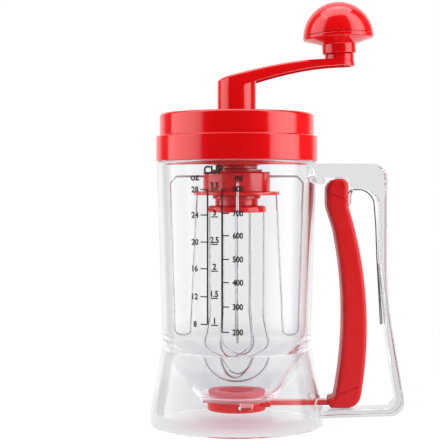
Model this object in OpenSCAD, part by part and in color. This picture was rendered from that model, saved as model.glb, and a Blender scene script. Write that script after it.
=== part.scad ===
// Pancake batter dispenser: a clear jug with a hand-cranked, counter-rotating
// whisk hung from its lid, and a sliding gate in its base that a lever works.
// Z is up, the origin is the middle of the foot, and +X points to the handle.

/* [Jug] */
// Outer radius of the foot
foot_r = 54.1; // [52:0.1:58]
// Height of the upright band at the foot
foot_band_h = 8.6; // [6:0.1:11]
// Height of the waist, where the flared skirt meets the body
waist_z = 52; // [49:0.5:56]
// Outer radius of the body at the waist
waist_r = 46.4; // [45:0.1:48]
// Height of the shoulder that the lid stands on
shoulder_z = 163.7; // [155:0.1:175]
// Outer radius of the body at the shoulder
shoulder_r = 50; // [49.2:0.1:50.6]
// Wall of the body at the waist and of the skirt
wall = 2.7; // [2.2:0.1:3.2]
// Height of the rim above the shoulder
rim_h = 13.2; // [11:0.1:14]
// Wall of the rim
rim_wall = 1.9; // [1.6:0.1:2.3]
// Thickness of the funnel, measured level
funnel_wall = 3.1; // [2.4:0.1:3.6]
// Underside of the floor round the outlet
floor_z = 15.3; // [14.6:0.1:17]
// Thickness of the floor round the outlet
floor_t = 3.3; // [2.5:0.1:4]
// Outer radius of the funnel where it meets the floor
neck_r = 22; // [21.4:0.1:24]
// Drop from the waist to where the funnel meets the skirt
funnel_drop = 3.7; // [3.4:0.1:4.4]
// Drop from the waist to where the skirt starts to flare
skirt_drop = 6; // [5:0.1:8]
// Half the width of the slot in the skirt that the gate rod passes
rod_slot_half = 20; // [12:0.5:22]
// Height of the slot in the skirt
rod_slot_h = 6.4; // [5.6:0.1:7]

/* [Gate valve] */
// Radius of the outlet hole
outlet_r = 8.2; // [7:0.1:8.6]
// Radius of the seat washer
washer_r = 18; // [16:0.1:18.6]
// Radius of the hole in the seat washer
washer_hole_r = 10.7; // [9.5:0.1:12]
// Thickness of the seat washer
washer_t = 2.8; // [2:0.1:3.4]
// Radius of the gate ring
ring_r = 18.4; // [17.8:0.1:19]
// Height of the gate ring
ring_h = 6.5; // [6:0.1:7.4]
// Thickness of the gate blade and its rod
gate_t = 3.2; // [2.6:0.1:3.4]
// Half the width of the gate blade
gate_half_w = 10.6; // [9.6:0.1:11.4]
// How far the blade overlaps the outlet hole when shut
gate_lap = 1.4; // [0.8:0.1:2]
// Straight length of the gate blade
blade_len = 20; // [16:0.5:24]
// Width of the gate rod
rod_w = 8; // [6:0.5:10]
// Width of each bayonet tab on the gate ring
tab_w = 8; // [5:0.5:10]
// How far each bayonet tab stands out
tab_out = 2.6; // [2:0.1:3]
// Thickness of each bayonet tab
tab_t = 1.5; // [1.2:0.1:1.8]
// Thickness of each hook that holds a tab
hook_t = 1.7; // [1.4:0.1:2]

/* [Handle] */
// Reach of the handle outside the shoulder
handle_reach = 43.2; // [40:0.1:48]
// Reach of the foot of the handle outside the foot of the jug
handle_foot_reach = 51.5; // [48:0.1:54]
// Step from the shoulder down to the top of the handle
handle_step = 1.3; // [0.8:0.1:3]
// Width of the handle band, across
handle_w = 19; // [17:0.5:22]
// Thickness of the upright part of the handle band
handle_t = 4.4; // [3.8:0.1:5]
// Thickness of the upright at its foot
handle_foot_t = 5.8; // [5:0.1:7]
// Depth of the top bar between the jug and the lever
root_bar_t = 12.8; // [10:0.1:14]
// Depth of the top bar where it passes the lever
top_bar_t = 8.0; // [7:0.1:8.6]
// Depth of the top bar over the hand
top_web_t = 15.4; // [13:0.1:17]
// Rounding inside the upper corner, over the hand
arch_r = 12; // [9:0.5:13]
// Rounding inside the lower corner
foot_corner_r = 6; // [4:0.5:8]
// Thickness of the bottom bar
bottom_bar_t = 4.5; // [3.6:0.1:4.8]
// Height of the underside of the bottom bar at the skirt
bottom_bar_z = 4.4; // [3.6:0.1:4.6]
// Rise of the bottom bar from the skirt to the upright
bottom_bar_rise = 1.6; // [0.8:0.1:2.4]
// Height where the upright starts to lean outwards
handle_bend_z = 80; // [70:1:90]
// How much higher the upright's inside starts to lean
handle_bend_rise = 24; // [18:1:30]
// Height of the lower bend in the upright's inside
inner_bend_z = 51; // [46:1:56]
// How far the upright's inside leans out down to that bend
inner_lean = 4.8; // [4:0.1:5.6]
// Rounding of the outer corners
handle_corner_r = 9; // [6:0.5:11]

/* [Lever] */
// Distance of the pivot outside the shoulder
pivot_out = 13.7; // [13:0.1:14.5]
// Distance of the pivot below the top of the handle
pivot_drop = 12.9; // [12.4:0.1:13.5]
// Radius of the pivot pin
pivot_pin_r = 1.5; // [1.2:0.1:1.8]
// Overall width of the lever
lever_w = 20; // [18.5:0.5:22]
// Wall of the lever
lever_wall = 2.1; // [1.8:0.1:2.4]
// Lever head behind the pivot
head_back = 6.6; // [6.3:0.1:7]
// Lever head in front of the pivot
head_front = 5.3; // [4.8:0.1:5.8]
// Lever head above the pivot
head_up = 3.6; // [3:0.1:3.9]
// Height of the lever head below the pivot
head_drop = 13.5; // [12:0.5:15]
// Rounding of the lever head in front
head_corner_r = 4.5; // [3:0.5:5]
// Length of the lug below the pivot
lug_drop = 14.4; // [12:0.1:15]
// How far the lug stands behind the pivot
lug_back = 3.5; // [3.2:0.1:3.8]
// How far the lug stands in front of the pivot
lug_front = 7.2; // [6.4:0.1:8]
// Bow of the lever's back towards the handle
back_bow = 7.6; // [6:0.1:9]
// Bow of the lever's front towards the handle
front_bow = 6.8; // [5:0.1:7.5]
// Distance of the link pin outside the foot
link_out = 6.3; // [5.8:0.1:7]
// Radius of the link pin
link_pin_r = 1.1; // [0.9:0.1:1.3]
// Play of the link pin up and down in its slots
link_play = 0.95; // [0.9:0.05:1.1]
// Lever foot behind the link pin
foot_back = 3.3; // [3:0.1:3.8]
// Lever foot in front of the link pin
foot_front = 16.9; // [15:0.1:17.5]
// Rounding of the lever's toe, and the height where the front's bow starts
toe_r = 9; // [7:0.1:9.4]
// How far the toe draws in below the front's bow
toe_lean = 1.6; // [1:0.1:2.4]
// Rounding of the lever's heel
heel_r = 2.5; // [1.5:0.1:2.6]
// Lever foot below the link pin
foot_down = 2.75; // [2.6:0.05:3]
// Lever foot above the link pin
foot_up = 3.6; // [3.2:0.1:4.2]
// How far the grip panels stand out from the lever's sides
panel_out = 0.4; // [0.2:0.1:0.6]
// Drop from the pivot to the top of the grip panels, at the lever's back
panel_drop = 5.6; // [5:0.1:7]
// Height of the grip panels' lower end above the link pin, at the lever's back
panel_rise = 4.7; // [4.2:0.1:6]
// Slant of the grip panels' ends
panel_slant = 0.4; // [0.3:0.02:0.5]
// Thickness of the spring wire
spring_wire = 0.9; // [0.7:0.05:1]
// Mean radius of the spring's coil
spring_r = 2.7; // [2.5:0.1:2.9]
// Turns of the spring
spring_turns = 2; // [1:1:2]
// Length of the spring's leg along the lever's back
spring_leg = 10; // [8:0.5:12]

/* [Lid] */
// Outer radius of the lid's lower band
lid_r = 50.6; // [50.2:0.1:52]
// Height of the lid's lower band
lid_band_h = 15.7; // [15:0.1:17]
// Outer radius of the lid's upper band
cap_r = 48.1; // [47.4:0.1:49]
// Height of the lid's upper band
cap_h = 12.8; // [11:0.1:15]
// Wall of the lid
lid_wall = 2.2; // [1.8:0.1:2.5]
// Thickness of the lid's top
lid_top_t = 2.4; // [2:0.1:3]
// Rounding of the lid's top edge
lid_round = 2; // [1:0.1:2.2]
// Thickness of the lid's seal
seal_t = 1.8; // [1.4:0.1:2]
// Outer radius of the gear cover
cover_r = 44.7; // [43.8:0.1:45]
// Depth of the gear cover below the shoulder
cover_drop = 2.9; // [2.4:0.1:4]
// Floor of the gear cover
cover_t = 2.4; // [2:0.1:2.8]
// Wall of the gear cover
cover_wall = 1.6; // [1.2:0.1:1.8]
// Radius of the boss under the gear cover
cover_boss_r = 13; // [12:0.1:15]
// Height of the boss under the gear cover
cover_boss_h = 2.9; // [2:0.1:3.4]
// Width of the cone round that boss
cover_cone_w = 7; // [4:0.5:9]
// Radius of the screws
screw_r = 1.1; // [0.9:0.05:1.25]
// Length of the screws
screw_len = 12; // [9:0.5:13]
// Radius of the screw heads
screw_head_r = 2.1; // [1.8:0.05:2.3]
// Thickness of the screw heads
screw_head_t = 1.5; // [1.2:0.1:1.8]
// Radius of the posts that the screws enter
screw_post_r = 2.3; // [2:0.1:2.4]

/* [Gears] */
// Gear module: pitch diameter divided by teeth
gear_m = 1.5; // [1.4:0.02:1.52]
// Face width of the gears
gear_w = 9; // [7:0.5:10]
// Play between meshing teeth
backlash = 0.3; // [0.25:0.05:0.4]
// Floor of the ring gear
ring_gear_t = 2.2; // [1.6:0.1:2.4]
// Wall of the ring gear outside its teeth
ring_gear_wall = 2.9; // [2.2:0.1:3]
// Radius of the planet axles
axle_r = 2; // [1.6:0.1:2.4]
// Radius of the posts that carry the planet axles
axle_post_r = 4.2; // [3.6:0.1:5]
// Radius of the drive shaft
shaft_r = 4; // [3.5:0.1:4.4]
// Outer radius of the tube under the ring gear
tube_r = 8; // [7.4:0.1:8.6]

/* [Whisks] */
// Radius of the whisk wire
wire_r = 0.65; // [0.5:0.05:0.8]
// Radius of the outer whisk's hub
hub_r = 21; // [20:0.1:22]
// Height of the outer whisk's hub
hub_h = 12; // [10:0.5:13]
// Wall of the outer whisk's hub
hub_wall = 2.2; // [1.8:0.1:2.6]
// Thickness of the outer hub's top
hub_top_t = 6; // [5:0.5:7]
// Radius of the collar on top of the outer hub
hub_collar_r = 16; // [14:0.5:17]
// Height of the collar on top of the outer hub
hub_collar_h = 1.5; // [1.2:0.1:1.8]
// Radius of the flange under the outer hub
flange_r = 27; // [26.4:0.1:29]
// Thickness of the flange under the outer hub
flange_t = 2.2; // [2:0.1:3]
// Radius of the inner whisk's step
inner_step_r = 15; // [14:0.5:16]
// Height of the inner whisk's step
inner_step_h = 2; // [1.5:0.1:2.5]
// Radius of the inner whisk's neck
inner_neck_r = 13.4; // [12:0.1:14]
// Height of the inner whisk's neck
inner_neck_h = 4.2; // [3:0.1:5]
// Radius of the inner whisk's disc
inner_disc_r = 18.4; // [18.2:0.1:20]
// Thickness of the inner whisk's disc
inner_disc_t = 4; // [3.4:0.1:5]
// How deep the wire ends sit in the hubs
wire_socket = 2.4; // [1.8:0.1:2.8]
// Drop from the top of the outer hub to the loops' upper ends
loop_drop = 2.8; // [2:0.1:4]
// Slanted corner between the outer loops' top and side
loop_corner = 4; // [3:0.5:6]
// Height of the outer loops' bottoms above the waist
outer_loop_clear = 2.2; // [1:0.1:6]
// Reach of the outer loops
outer_reach = 42; // [40:0.1:42.4]
// Radius of the outer loops where they turn at the bottom
outer_reach_low = 38.6; // [37:0.1:39.5]
// Width of the outer loops at the bottom
outer_loop_w = 9.4; // [8.5:0.1:10.5]
// Radius at which the outer loops' inner legs enter the flange
outer_leg_r = 24.9; // [24:0.1:25.4]
// Radius at which the inner loops enter their disc
inner_leg_r = 16.9; // [16:0.1:17.2]
// Radius of the inner loops at the knee
inner_knee_r = 16.6; // [15.5:0.1:17]
// Radius of the inner loops' round bottoms
inner_bulge_r = 19.8; // [19:0.1:20.6]
// Step in height from one inner loop's bottom to the next
loop_step = 2.85; // [2:0.05:3]
// Height of the lowest inner loop above the seat washer
loop_clear = 5.6; // [4:0.1:8]

/* [Crank] */
// Radius of the crank's boss
boss_r = 11.5; // [11:0.1:13]
// Height of the crank's boss at its low side
boss_h = 20.4; // [19:0.1:22]
// Distance from the shaft to the knob
crank_len = 63.9; // [55:0.1:75]
// Radius of the arm's end
arm_end_r = 9.6; // [9:0.1:11]
// Rise of the arm from the boss to the knob
arm_rise = 15.2; // [12:0.1:18]
// Thickness of the arm at the knob
arm_end_t = 3.4; // [3:0.1:4]
// Thickness of the arm at the boss
arm_root_t = 7.4; // [6:0.1:9]
// Wall of the arm
arm_wall = 2; // [1.6:0.1:2.4]
// Radius of the post under the knob
post_r = 9; // [8:0.1:9.4]
// Height of the post above the arm
post_h = 2.4; // [1.5:0.1:3]
// Lean of the knob towards the shaft, in degrees
knob_lean = 3; // [0:0.5:4]
// Radius of the knob's collar
collar_r = 10; // [9.4:0.1:12]
// Height of the knob's collar
collar_h = 6; // [5:0.1:8]
// Radius of the knob
knob_r = 22; // [19:0.1:24]
// Height of the cone under the knob
knob_cone_h = 3.6; // [3:0.1:5]
// Height of the lip round the knob
knob_lip_h = 2.5; // [2:0.1:3.5]
// Radius of the knob's axle
knob_axle_r = 3; // [2.5:0.1:3.5]
// How far the head of the knob's axle stands out round the axle
axle_head_out = 2; // [1:0.1:2.5]
// Cover of the crank's boss over the end of the shaft
boss_top_t = 3.4; // [2.6:0.1:5]

/* [Clearances] */
// Gap between the lid and the jug
lid_fit = 0.4; // [0.3:0.05:0.5]
// Gap under a piece that stands on another and can be lifted or turned
seat_gap = 0.2; // [0.15:0.05:0.3]
// Gap round a turning shaft or pin
run_fit = 0.2; // [0.15:0.05:0.3]
// Gap round a fixed pin, wire or bonded joint
fixed_fit = 0.05; // [0.03:0.01:0.08]

/* [Hidden] */
$fn = 96;
past = 1;              // how far a cut runs past the face it opens
head_room = 1.2;       // room round the lever's head, inside the handle
slow_bend_r = 240;     // radius of the slow bend in the handle's upright
head_bend_r = 20;      // radius of the bend under the lever's head
draft = 0.2;           // how much a moulded bore opens towards its mouth
edge = 0.8;            // small rounding or chamfer on a moulded edge
arc_steps = 8;         // straight pieces in a rounded corner
bow_steps = 14;        // straight pieces in a bowed side
arm_steps = 16;        // straight pieces in the arm's rise
wire_bend_r = 2.5;     // radius of the sharp bends in the whisk wire
wire_sides = 8;        // sides of a wire's section

// Jug
lid_z = shoulder_z + seat_gap;
rim_r = lid_r - lid_wall - lid_fit;
rim_in = rim_r - rim_wall;
rim_z = shoulder_z + rim_h;
body_in_top = rim_in - draft;
body_in_low = waist_r - wall;
floor_top = floor_z + floor_t;
skirt_join = [waist_r - edge / 2, waist_z - funnel_drop];
skirt_bend = [waist_r + edge, waist_z - skirt_drop];
funnel_slope = (skirt_join.x - neck_r) / (skirt_join.y - floor_z);
funnel_low_r = neck_r - funnel_wall + floor_t * funnel_slope;
funnel_top_z = floor_z + (body_in_low - neck_r + funnel_wall) / funnel_slope;

// Gate valve
ring_z = floor_z - ring_h;
gate_z = floor_z - run_fit - gate_t;
gate_mid_z = gate_z + gate_t / 2;
gate_channel_z = gate_z - run_fit;
gate_tip_x = -outlet_r - gate_lap;
gate_travel = 2 * outlet_r + gate_lap;
blade_end_x = gate_half_w + gate_tip_x + blade_len;
tab_angles = [180, 75, -75];
tab_z = floor_z - edge / 4 - tab_t;

// Handle and lever
handle_x = shoulder_r + handle_reach;
handle_foot_x = foot_r + handle_foot_reach;
handle_top_z = shoulder_z - handle_step;
pivot = [shoulder_r + pivot_out, handle_top_z - pivot_drop];
link = [foot_r + link_out, gate_mid_z];
lever_top_z = pivot.y + head_up;
lever_bottom_z = link.y - foot_down;
back_head = [pivot.x - head_back, pivot.y - head_drop];
back_foot = [link.x + edge / 4, link.y + foot_up];
front_head = [pivot.x + head_front, back_head.y];
front_foot = [link.x + foot_front, lever_bottom_z + toe_r + run_fit];
lever_in_w = lever_w - 2 * lever_wall;
spring_pitch = spring_wire + run_fit / 10;
spring_room = spring_turns * spring_pitch + spring_wire + 3 * run_fit;
lug_front_y = -lever_in_w / 2 + 2 * run_fit;
lug_back_y = lever_in_w / 2 - spring_room;
spring_y = lug_back_y + run_fit + spring_wire / 2;

// Lid and gears
cap_z = lid_z + lid_band_h;
lid_top_z = cap_z + cap_h;
lid_in_top_z = lid_top_z - lid_top_t;
lid_in_r = lid_r - lid_wall;
cap_in_r = cap_r - lid_wall;
seal_z = rim_z + seat_gap;
ledge_z = seal_z + seal_t;
cover_z = lid_z - cover_drop;
cover_floor_z = cover_z + cover_t;
cover_top_z = rim_z + seal_t;
sun_teeth = 12;
planet_teeth = 15;
ring_teeth = 42;
tip_lean = 24;         // flank angle outside the pitch circle
root_lean = 12;        // flank angle inside the pitch circle
planet_orbit_r = gear_m * (sun_teeth + planet_teeth) / 2;
ring_pitch_r = gear_m * ring_teeth / 2;
tooth_out = 0.85 * gear_m;
tooth_in = 1.15 * gear_m;
ring_root_r = ring_pitch_r + tooth_in;
ring_gear_r = ring_root_r + ring_gear_wall;
ring_floor_z = cover_floor_z + 1;
gear_z = ring_floor_z + ring_gear_t + 2 * seat_gap;
gear_top_z = gear_z + gear_w;
screw_orbit_r = (ring_gear_r + cover_r - cover_wall) / 2;
cross_w = screw_head_r / 3.5;      // width of the cross in a screw head
planet_angles = [0, 120, 240];
screw_angles = [60, 180, 300];

// Whisks
boss_low_z = cover_z - cover_boss_h;
hub_top_z = boss_low_z - seat_gap;
hub_shell_z = hub_top_z - hub_collar_h;
flange_top_z = hub_shell_z - hub_h;
flange_z = flange_top_z - flange_t;
tube_shell_r = tube_r + hub_wall;
loop_z = hub_shell_z - loop_drop;
inner_top_z = flange_z - 2 * seat_gap;
inner_neck_z = inner_top_z - inner_step_h - inner_neck_h;
inner_disc_z = inner_neck_z - inner_disc_t;
hub_screw_t = inner_disc_t / 2;    // depth of the room for the hub screw's head
hub_screw_r = screw_head_r + 1.4;  // radius of the hub screw's head
inner_bottom_z = floor_top + washer_t + loop_clear + wire_r;
outer_bottom_z = waist_z + outer_loop_clear;

// Crank and knob
boss_z = lid_top_z + seat_gap;
arm_top_low = boss_z + boss_h;
arm_top_high = arm_top_low + arm_rise;
arm_plane_z = arm_top_high - arm_end_t;
post_top_z = arm_top_high + post_h;
knob_foot_h = seat_gap;
knob_edge_h = knob_foot_h + collar_h + knob_cone_h;
knob_rim_h = knob_edge_h + knob_lip_h;
shaft_top_z = arm_top_low - boss_top_t;

// Unit vector along v
function unit(v) = v / norm(v);

// Points of a corner at b, between a and c, rounded to radius r
function corner(a, b, c, r) =
    r == 0 ? [b] :
    let (u = unit(a - b), v = unit(c - b),
         half = acos(u * v) / 2,
         s = b + u * r / tan(half),
         e = b + v * r / tan(half),
         m = b + unit(u + v) * r / sin(half),
         from = atan2(s.y - m.y, s.x - m.x),
         turn = atan2(e.y - m.y, e.x - m.x) - from,
         sweep = turn > 180 ? turn - 360 : turn < -180 ? turn + 360 : turn)
    [for (k = [0 : arc_steps]) m + r * [cos(from + sweep * k / arc_steps), sin(from + sweep * k / arc_steps)]];

// A point's place, without its radius
function place(p) = [p.x, p.y];

// Closed outline through corners [x, y, radius]
function rounded(c) =
    [for (i = [0 : len(c) - 1])
        each corner(place(c[(i + len(c) - 1) % len(c)]), place(c[i]), place(c[(i + 1) % len(c)]), c[i][2])];

// Open path through corners [x, y, radius]
function bent(c) =
    concat([place(c[0])],
           [for (i = [1 : len(c) - 2]) each corner(place(c[i - 1]), place(c[i]), place(c[i + 1]), c[i][2])],
           [place(c[len(c) - 1])]);

// Corners along the arc from a to b that bows out by s to the left of a to b
function bow(a, b, s, steps = bow_steps) =
    let (chord = norm(b - a),
         r = (chord * chord / 4 + s * s) / (2 * s),
         out = unit([a.y - b.y, b.x - a.x]),
         m = (a + b) / 2 - out * (r - s),
         half = asin(chord / 2 / r),
         mid = atan2(out.y, out.x))
    [for (k = [1 : steps - 1])
        let (t = mid + half - 2 * half * k / steps)
        [m.x + r * cos(t), m.y + r * sin(t), 0]];

// A round wire along points in space, none of its runs parallel to Y
module wire(points, r) {
    count = len(points);
    rings = [for (i = [0 : count - 1])
        let (t = unit(points[min(i + 1, count - 1)] - points[max(i - 1, 0)]),
             n = unit(cross([0, 1, 0], t)),
             b = cross(t, n))
        for (k = [0 : wire_sides - 1])
            points[i] + r * (n * cos(360 * k / wire_sides) + b * sin(360 * k / wire_sides))];
    walls = [for (i = [0 : count - 2], k = [0 : wire_sides - 1])
        let (next = (k + 1) % wire_sides)
        [i * wire_sides + k, (i + 1) * wire_sides + k, (i + 1) * wire_sides + next, i * wire_sides + next]];
    first = [for (k = [0 : wire_sides - 1]) k];
    last = [for (k = [wire_sides - 1 : -1 : 0]) (count - 1) * wire_sides + k];
    polyhedron(rings, concat([first], walls, [last]));
}

// A plate drawn in X and Z, centred on Y
module side_plate(points, width) {
    rotate([90, 0, 0]) linear_extrude(width, center = true) polygon(points);
}

// A pin or bore along Y through [x, z]
module cross_pin(at, r, length) {
    translate([at.x, 0, at.y]) rotate([90, 0, 0]) cylinder(r = r, h = length, center = true);
}

// Outline of a gear: half_t is half a tooth at the pitch circle
function gear_points(teeth, low_r, high_r, half_t) =
    let (pitch_r = gear_m * teeth / 2)
    [for (k = [0 : teeth - 1], s = [-1, 1], q = s < 0 ? [low_r, pitch_r, high_r] : [high_r, pitch_r, low_r])
        let (t = half_t + (pitch_r - q) * tan(q > pitch_r ? tip_lean : root_lean),
             a = 360 * k / teeth + s * t / q * 180 / PI)
        q * [cos(a), sin(a)]];

// A spur gear with a bore
module spur(teeth, bore_r) {
    pitch_r = gear_m * teeth / 2;
    difference() {
        linear_extrude(gear_w)
            polygon(gear_points(teeth, pitch_r - tooth_in, pitch_r + tooth_out, PI * gear_m / 4 - backlash / 2));
        translate([0, 0, -past]) cylinder(r = bore_r, h = gear_w + 2 * past);
    }
}

// Section of the cup: body, rim, funnel and floor
cup_points = [
    [outlet_r, floor_z], [neck_r, floor_z], skirt_join, [waist_r, waist_z],
    [shoulder_r, shoulder_z], [rim_r, shoulder_z], [rim_r, rim_z - edge], [rim_r - edge, rim_z],
    [rim_in, rim_z], [body_in_top, shoulder_z], [body_in_low, funnel_top_z],
    [funnel_low_r, floor_top], [outlet_r, floor_top]];

// Section of the flared skirt
skirt_points = [
    [body_in_low + wall / 2, waist_z - edge], [waist_r, waist_z], skirt_bend,
    [foot_r, foot_band_h], [foot_r, edge], [foot_r - edge, 0],
    [foot_r - wall + edge, 0], [foot_r - wall, edge], [foot_r - wall, foot_band_h],
    [skirt_bend.x - wall, skirt_bend.y]];

module jug_body() color([0.9, 0.92, 0.95, 0.35]) {
    rotate_extrude() polygon(cup_points);
    difference() {
        rotate_extrude() polygon(skirt_points);
        rod_slot();
    }
    for (a = tab_angles) rotate(a) bayonet_hook();
}

// Opening in the skirt, with round ends, that the gate rod passes
module rod_slot() {
    slot_r = rod_slot_h / 2;
    slot_z = gate_mid_z + edge;
    translate([waist_r - wall, 0, slot_z]) rotate([90, 0, 90]) linear_extrude(foot_r) {
        square([2 * (rod_slot_half - slot_r), 2 * slot_r], center = true);
        for (s = [-1, 1]) translate([s * (rod_slot_half - slot_r), 0]) circle(slot_r);
    }
}

// Hook under the floor that a tab of the gate ring turns into
module bayonet_hook() {
    lip_z = tab_z - run_fit - hook_t;
    out_r = ring_r + tab_out + run_fit;
    translate([out_r, -tab_w / 2, lip_z]) cube([hook_t, tab_w, floor_z - lip_z + edge]);
    translate([ring_r + 2 * run_fit, -tab_w / 2, lip_z]) cube([out_r - ring_r, tab_w, hook_t]);
}

module valve_washer() color([0.82, 0.12, 0.14])
    translate([0, 0, floor_top + fixed_fit]) rotate_extrude() polygon([
        [washer_hole_r, 0], [washer_r, 0], [washer_r, washer_t - edge / 2],
        [washer_r - edge / 2, washer_t], [washer_hole_r + edge, washer_t], [washer_hole_r, washer_t - edge]]);

module gate_ring() color([0.86, 0.08, 0.1]) {
    channel_half = gate_half_w + run_fit;
    difference() {
        translate([0, 0, ring_z]) rotate_extrude() polygon([
            [outlet_r + edge, 0], [ring_r - edge, 0], [ring_r, edge], [ring_r, ring_h - fixed_fit],
            [outlet_r + edge, ring_h - fixed_fit]]);
        translate([0, -channel_half, gate_channel_z]) cube([foot_r, 2 * channel_half, ring_h]);
        translate([gate_tip_x + gate_half_w, 0, gate_channel_z]) cylinder(r = channel_half, h = ring_h);
    }
    for (a = tab_angles) rotate(a)
        translate([ring_r - edge, edge - tab_w / 2, tab_z]) cube([tab_out + edge, tab_w - 2 * edge, tab_t]);
}

module gate_slide() color([0.84, 0.09, 0.11]) {
    tip = [gate_tip_x + gate_half_w, 0, gate_z];
    rod_end_x = link.x + foot_back - run_fit;
    difference() {
        union() {
            translate(tip) cylinder(r = gate_half_w, h = gate_t);
            translate([tip.x, -gate_half_w, gate_z]) cube([blade_end_x - tip.x, 2 * gate_half_w, gate_t]);
            translate([blade_end_x - past, -rod_w / 2, gate_z]) cube([rod_end_x - blade_end_x + past, rod_w, gate_t]);
        }
        cross_pin(link, link_pin_r + fixed_fit, rod_w + 2 * past);
    }
}

module link_pin() color([0.75, 0.76, 0.78]) cross_pin(link, link_pin_r, lever_w - 2 * edge);

// Side view of the handle band, with its corner roundings
module handle_outline() {
    inner_x = handle_x - handle_t;
    root_x = back_head.x - head_room;
    web_x = pivot.x + head_front + 2 * head_room;
    polygon(rounded([
        [0, handle_top_z, 0],
        [handle_x, handle_top_z, handle_corner_r],
        [handle_x, handle_bend_z, slow_bend_r],
        [handle_foot_x, bottom_bar_z + bottom_bar_rise, handle_corner_r],
        [foot_r - wall, bottom_bar_z, 0],
        [foot_r - wall, bottom_bar_z + bottom_bar_t, 0],
        [handle_foot_x - handle_foot_t, bottom_bar_z + bottom_bar_t + bottom_bar_rise, foot_corner_r],
        [inner_x + inner_lean, inner_bend_z, slow_bend_r / 4],
        [inner_x, handle_bend_z + handle_bend_rise, slow_bend_r / 4],
        [inner_x, handle_top_z - top_web_t, arch_r],
        [web_x, handle_top_z - top_web_t, 2 * edge],
        [web_x, handle_top_z - top_bar_t, edge],
        [root_x, handle_top_z - top_bar_t, edge],
        [root_x, handle_top_z - root_bar_t, 2 * edge],
        [0, handle_top_z - root_bar_t, 0]]));
}

// Side view of the lug that carries the pivot, inside the lever's head
function lug_outline() =
    let (top_z = handle_top_z - top_bar_t + past,
         web_z = handle_top_z - top_web_t + past,
         web_x = pivot.x + head_front + 3 * head_room)
    rounded([
        [pivot.x - lug_back, top_z, 0],
        [pivot.x - lug_back, pivot.y - lug_back, 4 * edge],
        [pivot.x - lug_back / 2, pivot.y - lug_drop, 2 * edge],
        [pivot.x + lug_front, pivot.y - lug_drop, 5 * edge],
        [pivot.x + lug_front, pivot.y - lug_front, 2 * edge],
        [web_x, web_z, 0],
        [web_x, top_z, 0]]);

module handle_frame() color([0.9, 0.92, 0.95, 0.35])
    difference() {
        union() {
            rotate([90, 0, 0]) linear_extrude(handle_w, center = true) handle_outline();
            translate([0, (lug_front_y + lug_back_y) / 2, 0])
                side_plate(lug_outline(), lug_back_y - lug_front_y);
        }
        cross_pin(pivot, pivot_pin_r + fixed_fit, lever_w);
        jug_envelope();
    }

// The room that the jug's outside takes, with a bonding gap
module jug_envelope() {
    g = fixed_fit;
    rotate_extrude() polygon([
        [0, -past], [foot_r + g, -past], [foot_r + g, foot_band_h], [skirt_bend.x + g, skirt_bend.y],
        [waist_r + g, waist_z], [shoulder_r + g, shoulder_z], [shoulder_r + g, shoulder_z + past],
        [0, shoulder_z + past]]);
}

module lever_pivot_pin() color([0.75, 0.76, 0.78]) cross_pin(pivot, pivot_pin_r, lever_w - edge);

// Torsion spring on the pivot pin: one leg on the lever's back, one under the top bar
module lever_spring() color([0.7, 0.71, 0.73]) {
    steps = 12 * spring_turns;
    coil_w = spring_pitch * spring_turns;
    coil = [for (k = [0 : steps])
        let (a = 180 - 360 * spring_turns * k / steps)
        [pivot.x + spring_r * cos(a), spring_y + coil_w * k / steps, pivot.y + spring_r * sin(a)]];
    low_end = [back_head.x + lever_wall + spring_wire / 2 + run_fit, spring_y, pivot.y - spring_leg];
    high_end = [pivot.x - spring_r, spring_y + coil_w, handle_top_z - top_bar_t - run_fit];
    wire(concat([low_end], coil, [high_end]), spring_wire / 2);
}

// Corners of the lever's side view
lever_corners = concat(
    [[back_head.x, lever_top_z, edge], [back_head.x, back_head.y, head_bend_r]],
    bow(back_head, back_foot, back_bow),
    [[back_foot.x, back_foot.y, 2 * edge], [link.x - foot_back, back_foot.y, 2 * edge],
     [link.x - foot_back, lever_bottom_z, heel_r], [front_foot.x - toe_lean, lever_bottom_z, toe_r],
     [front_foot.x, front_foot.y, 0]],
    bow(front_foot, front_head, -front_bow),
    [[front_head.x, front_head.y, 0], [front_head.x, lever_top_z, head_corner_r]]);

module lever_shell() color([0.8, 0.11, 0.12]) {
    open_x = front_foot.x + front_bow + 4 * past;
    channel = concat(
        [[back_head.x + lever_wall, lever_top_z + past, 0], [back_head.x + lever_wall, back_head.y, head_bend_r]],
        bow(back_head + [lever_wall, 0], back_foot + [lever_wall, 0], back_bow),
        [[back_foot.x + lever_wall, back_foot.y, 0],
         [link.x + foot_back + run_fit, lever_bottom_z + lever_wall, 1],
         [open_x, lever_bottom_z + lever_wall, 0], [open_x, lever_top_z + past, 0]]);
    difference() {
        union() {
            side_plate(rounded(lever_corners), lever_w);
            intersection() {
                side_plate(rounded(lever_corners), lever_w + 2 * panel_out);
                side_plate(grip_region(), lever_w + 4 * panel_out);
            }
        }
        side_plate(rounded(channel), lever_in_w);
        cross_pin(pivot, pivot_pin_r + run_fit, 2 * lever_w);
        link_slot();
        rod_notch();
    }
}

// Side view of the raised grip panels: between two slanted lines
function grip_region() =
    let (near_x = back_head.x - past,
         far_x = front_foot.x + 2 * front_bow,
         top_z = pivot.y - panel_drop,
         low_z = link.y + panel_rise)
    [[near_x, top_z + panel_slant * past], [far_x, top_z - panel_slant * (far_x - back_head.x)],
     [far_x, low_z + panel_slant * (far_x - back_foot.x)], [near_x, low_z - panel_slant * (back_foot.x - near_x)]];

// Tall hole in the lever's cheeks, because the lever's foot swings and the rod slides
module link_slot() {
    slot_r = link_pin_r + run_fit;
    for (s = [-1, 1]) cross_pin(link + [0, s * link_play], slot_r, 2 * lever_w);
    translate([link.x, 0, link.y]) cube([2 * slot_r, 2 * lever_w, 2 * link_play], center = true);
}

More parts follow.
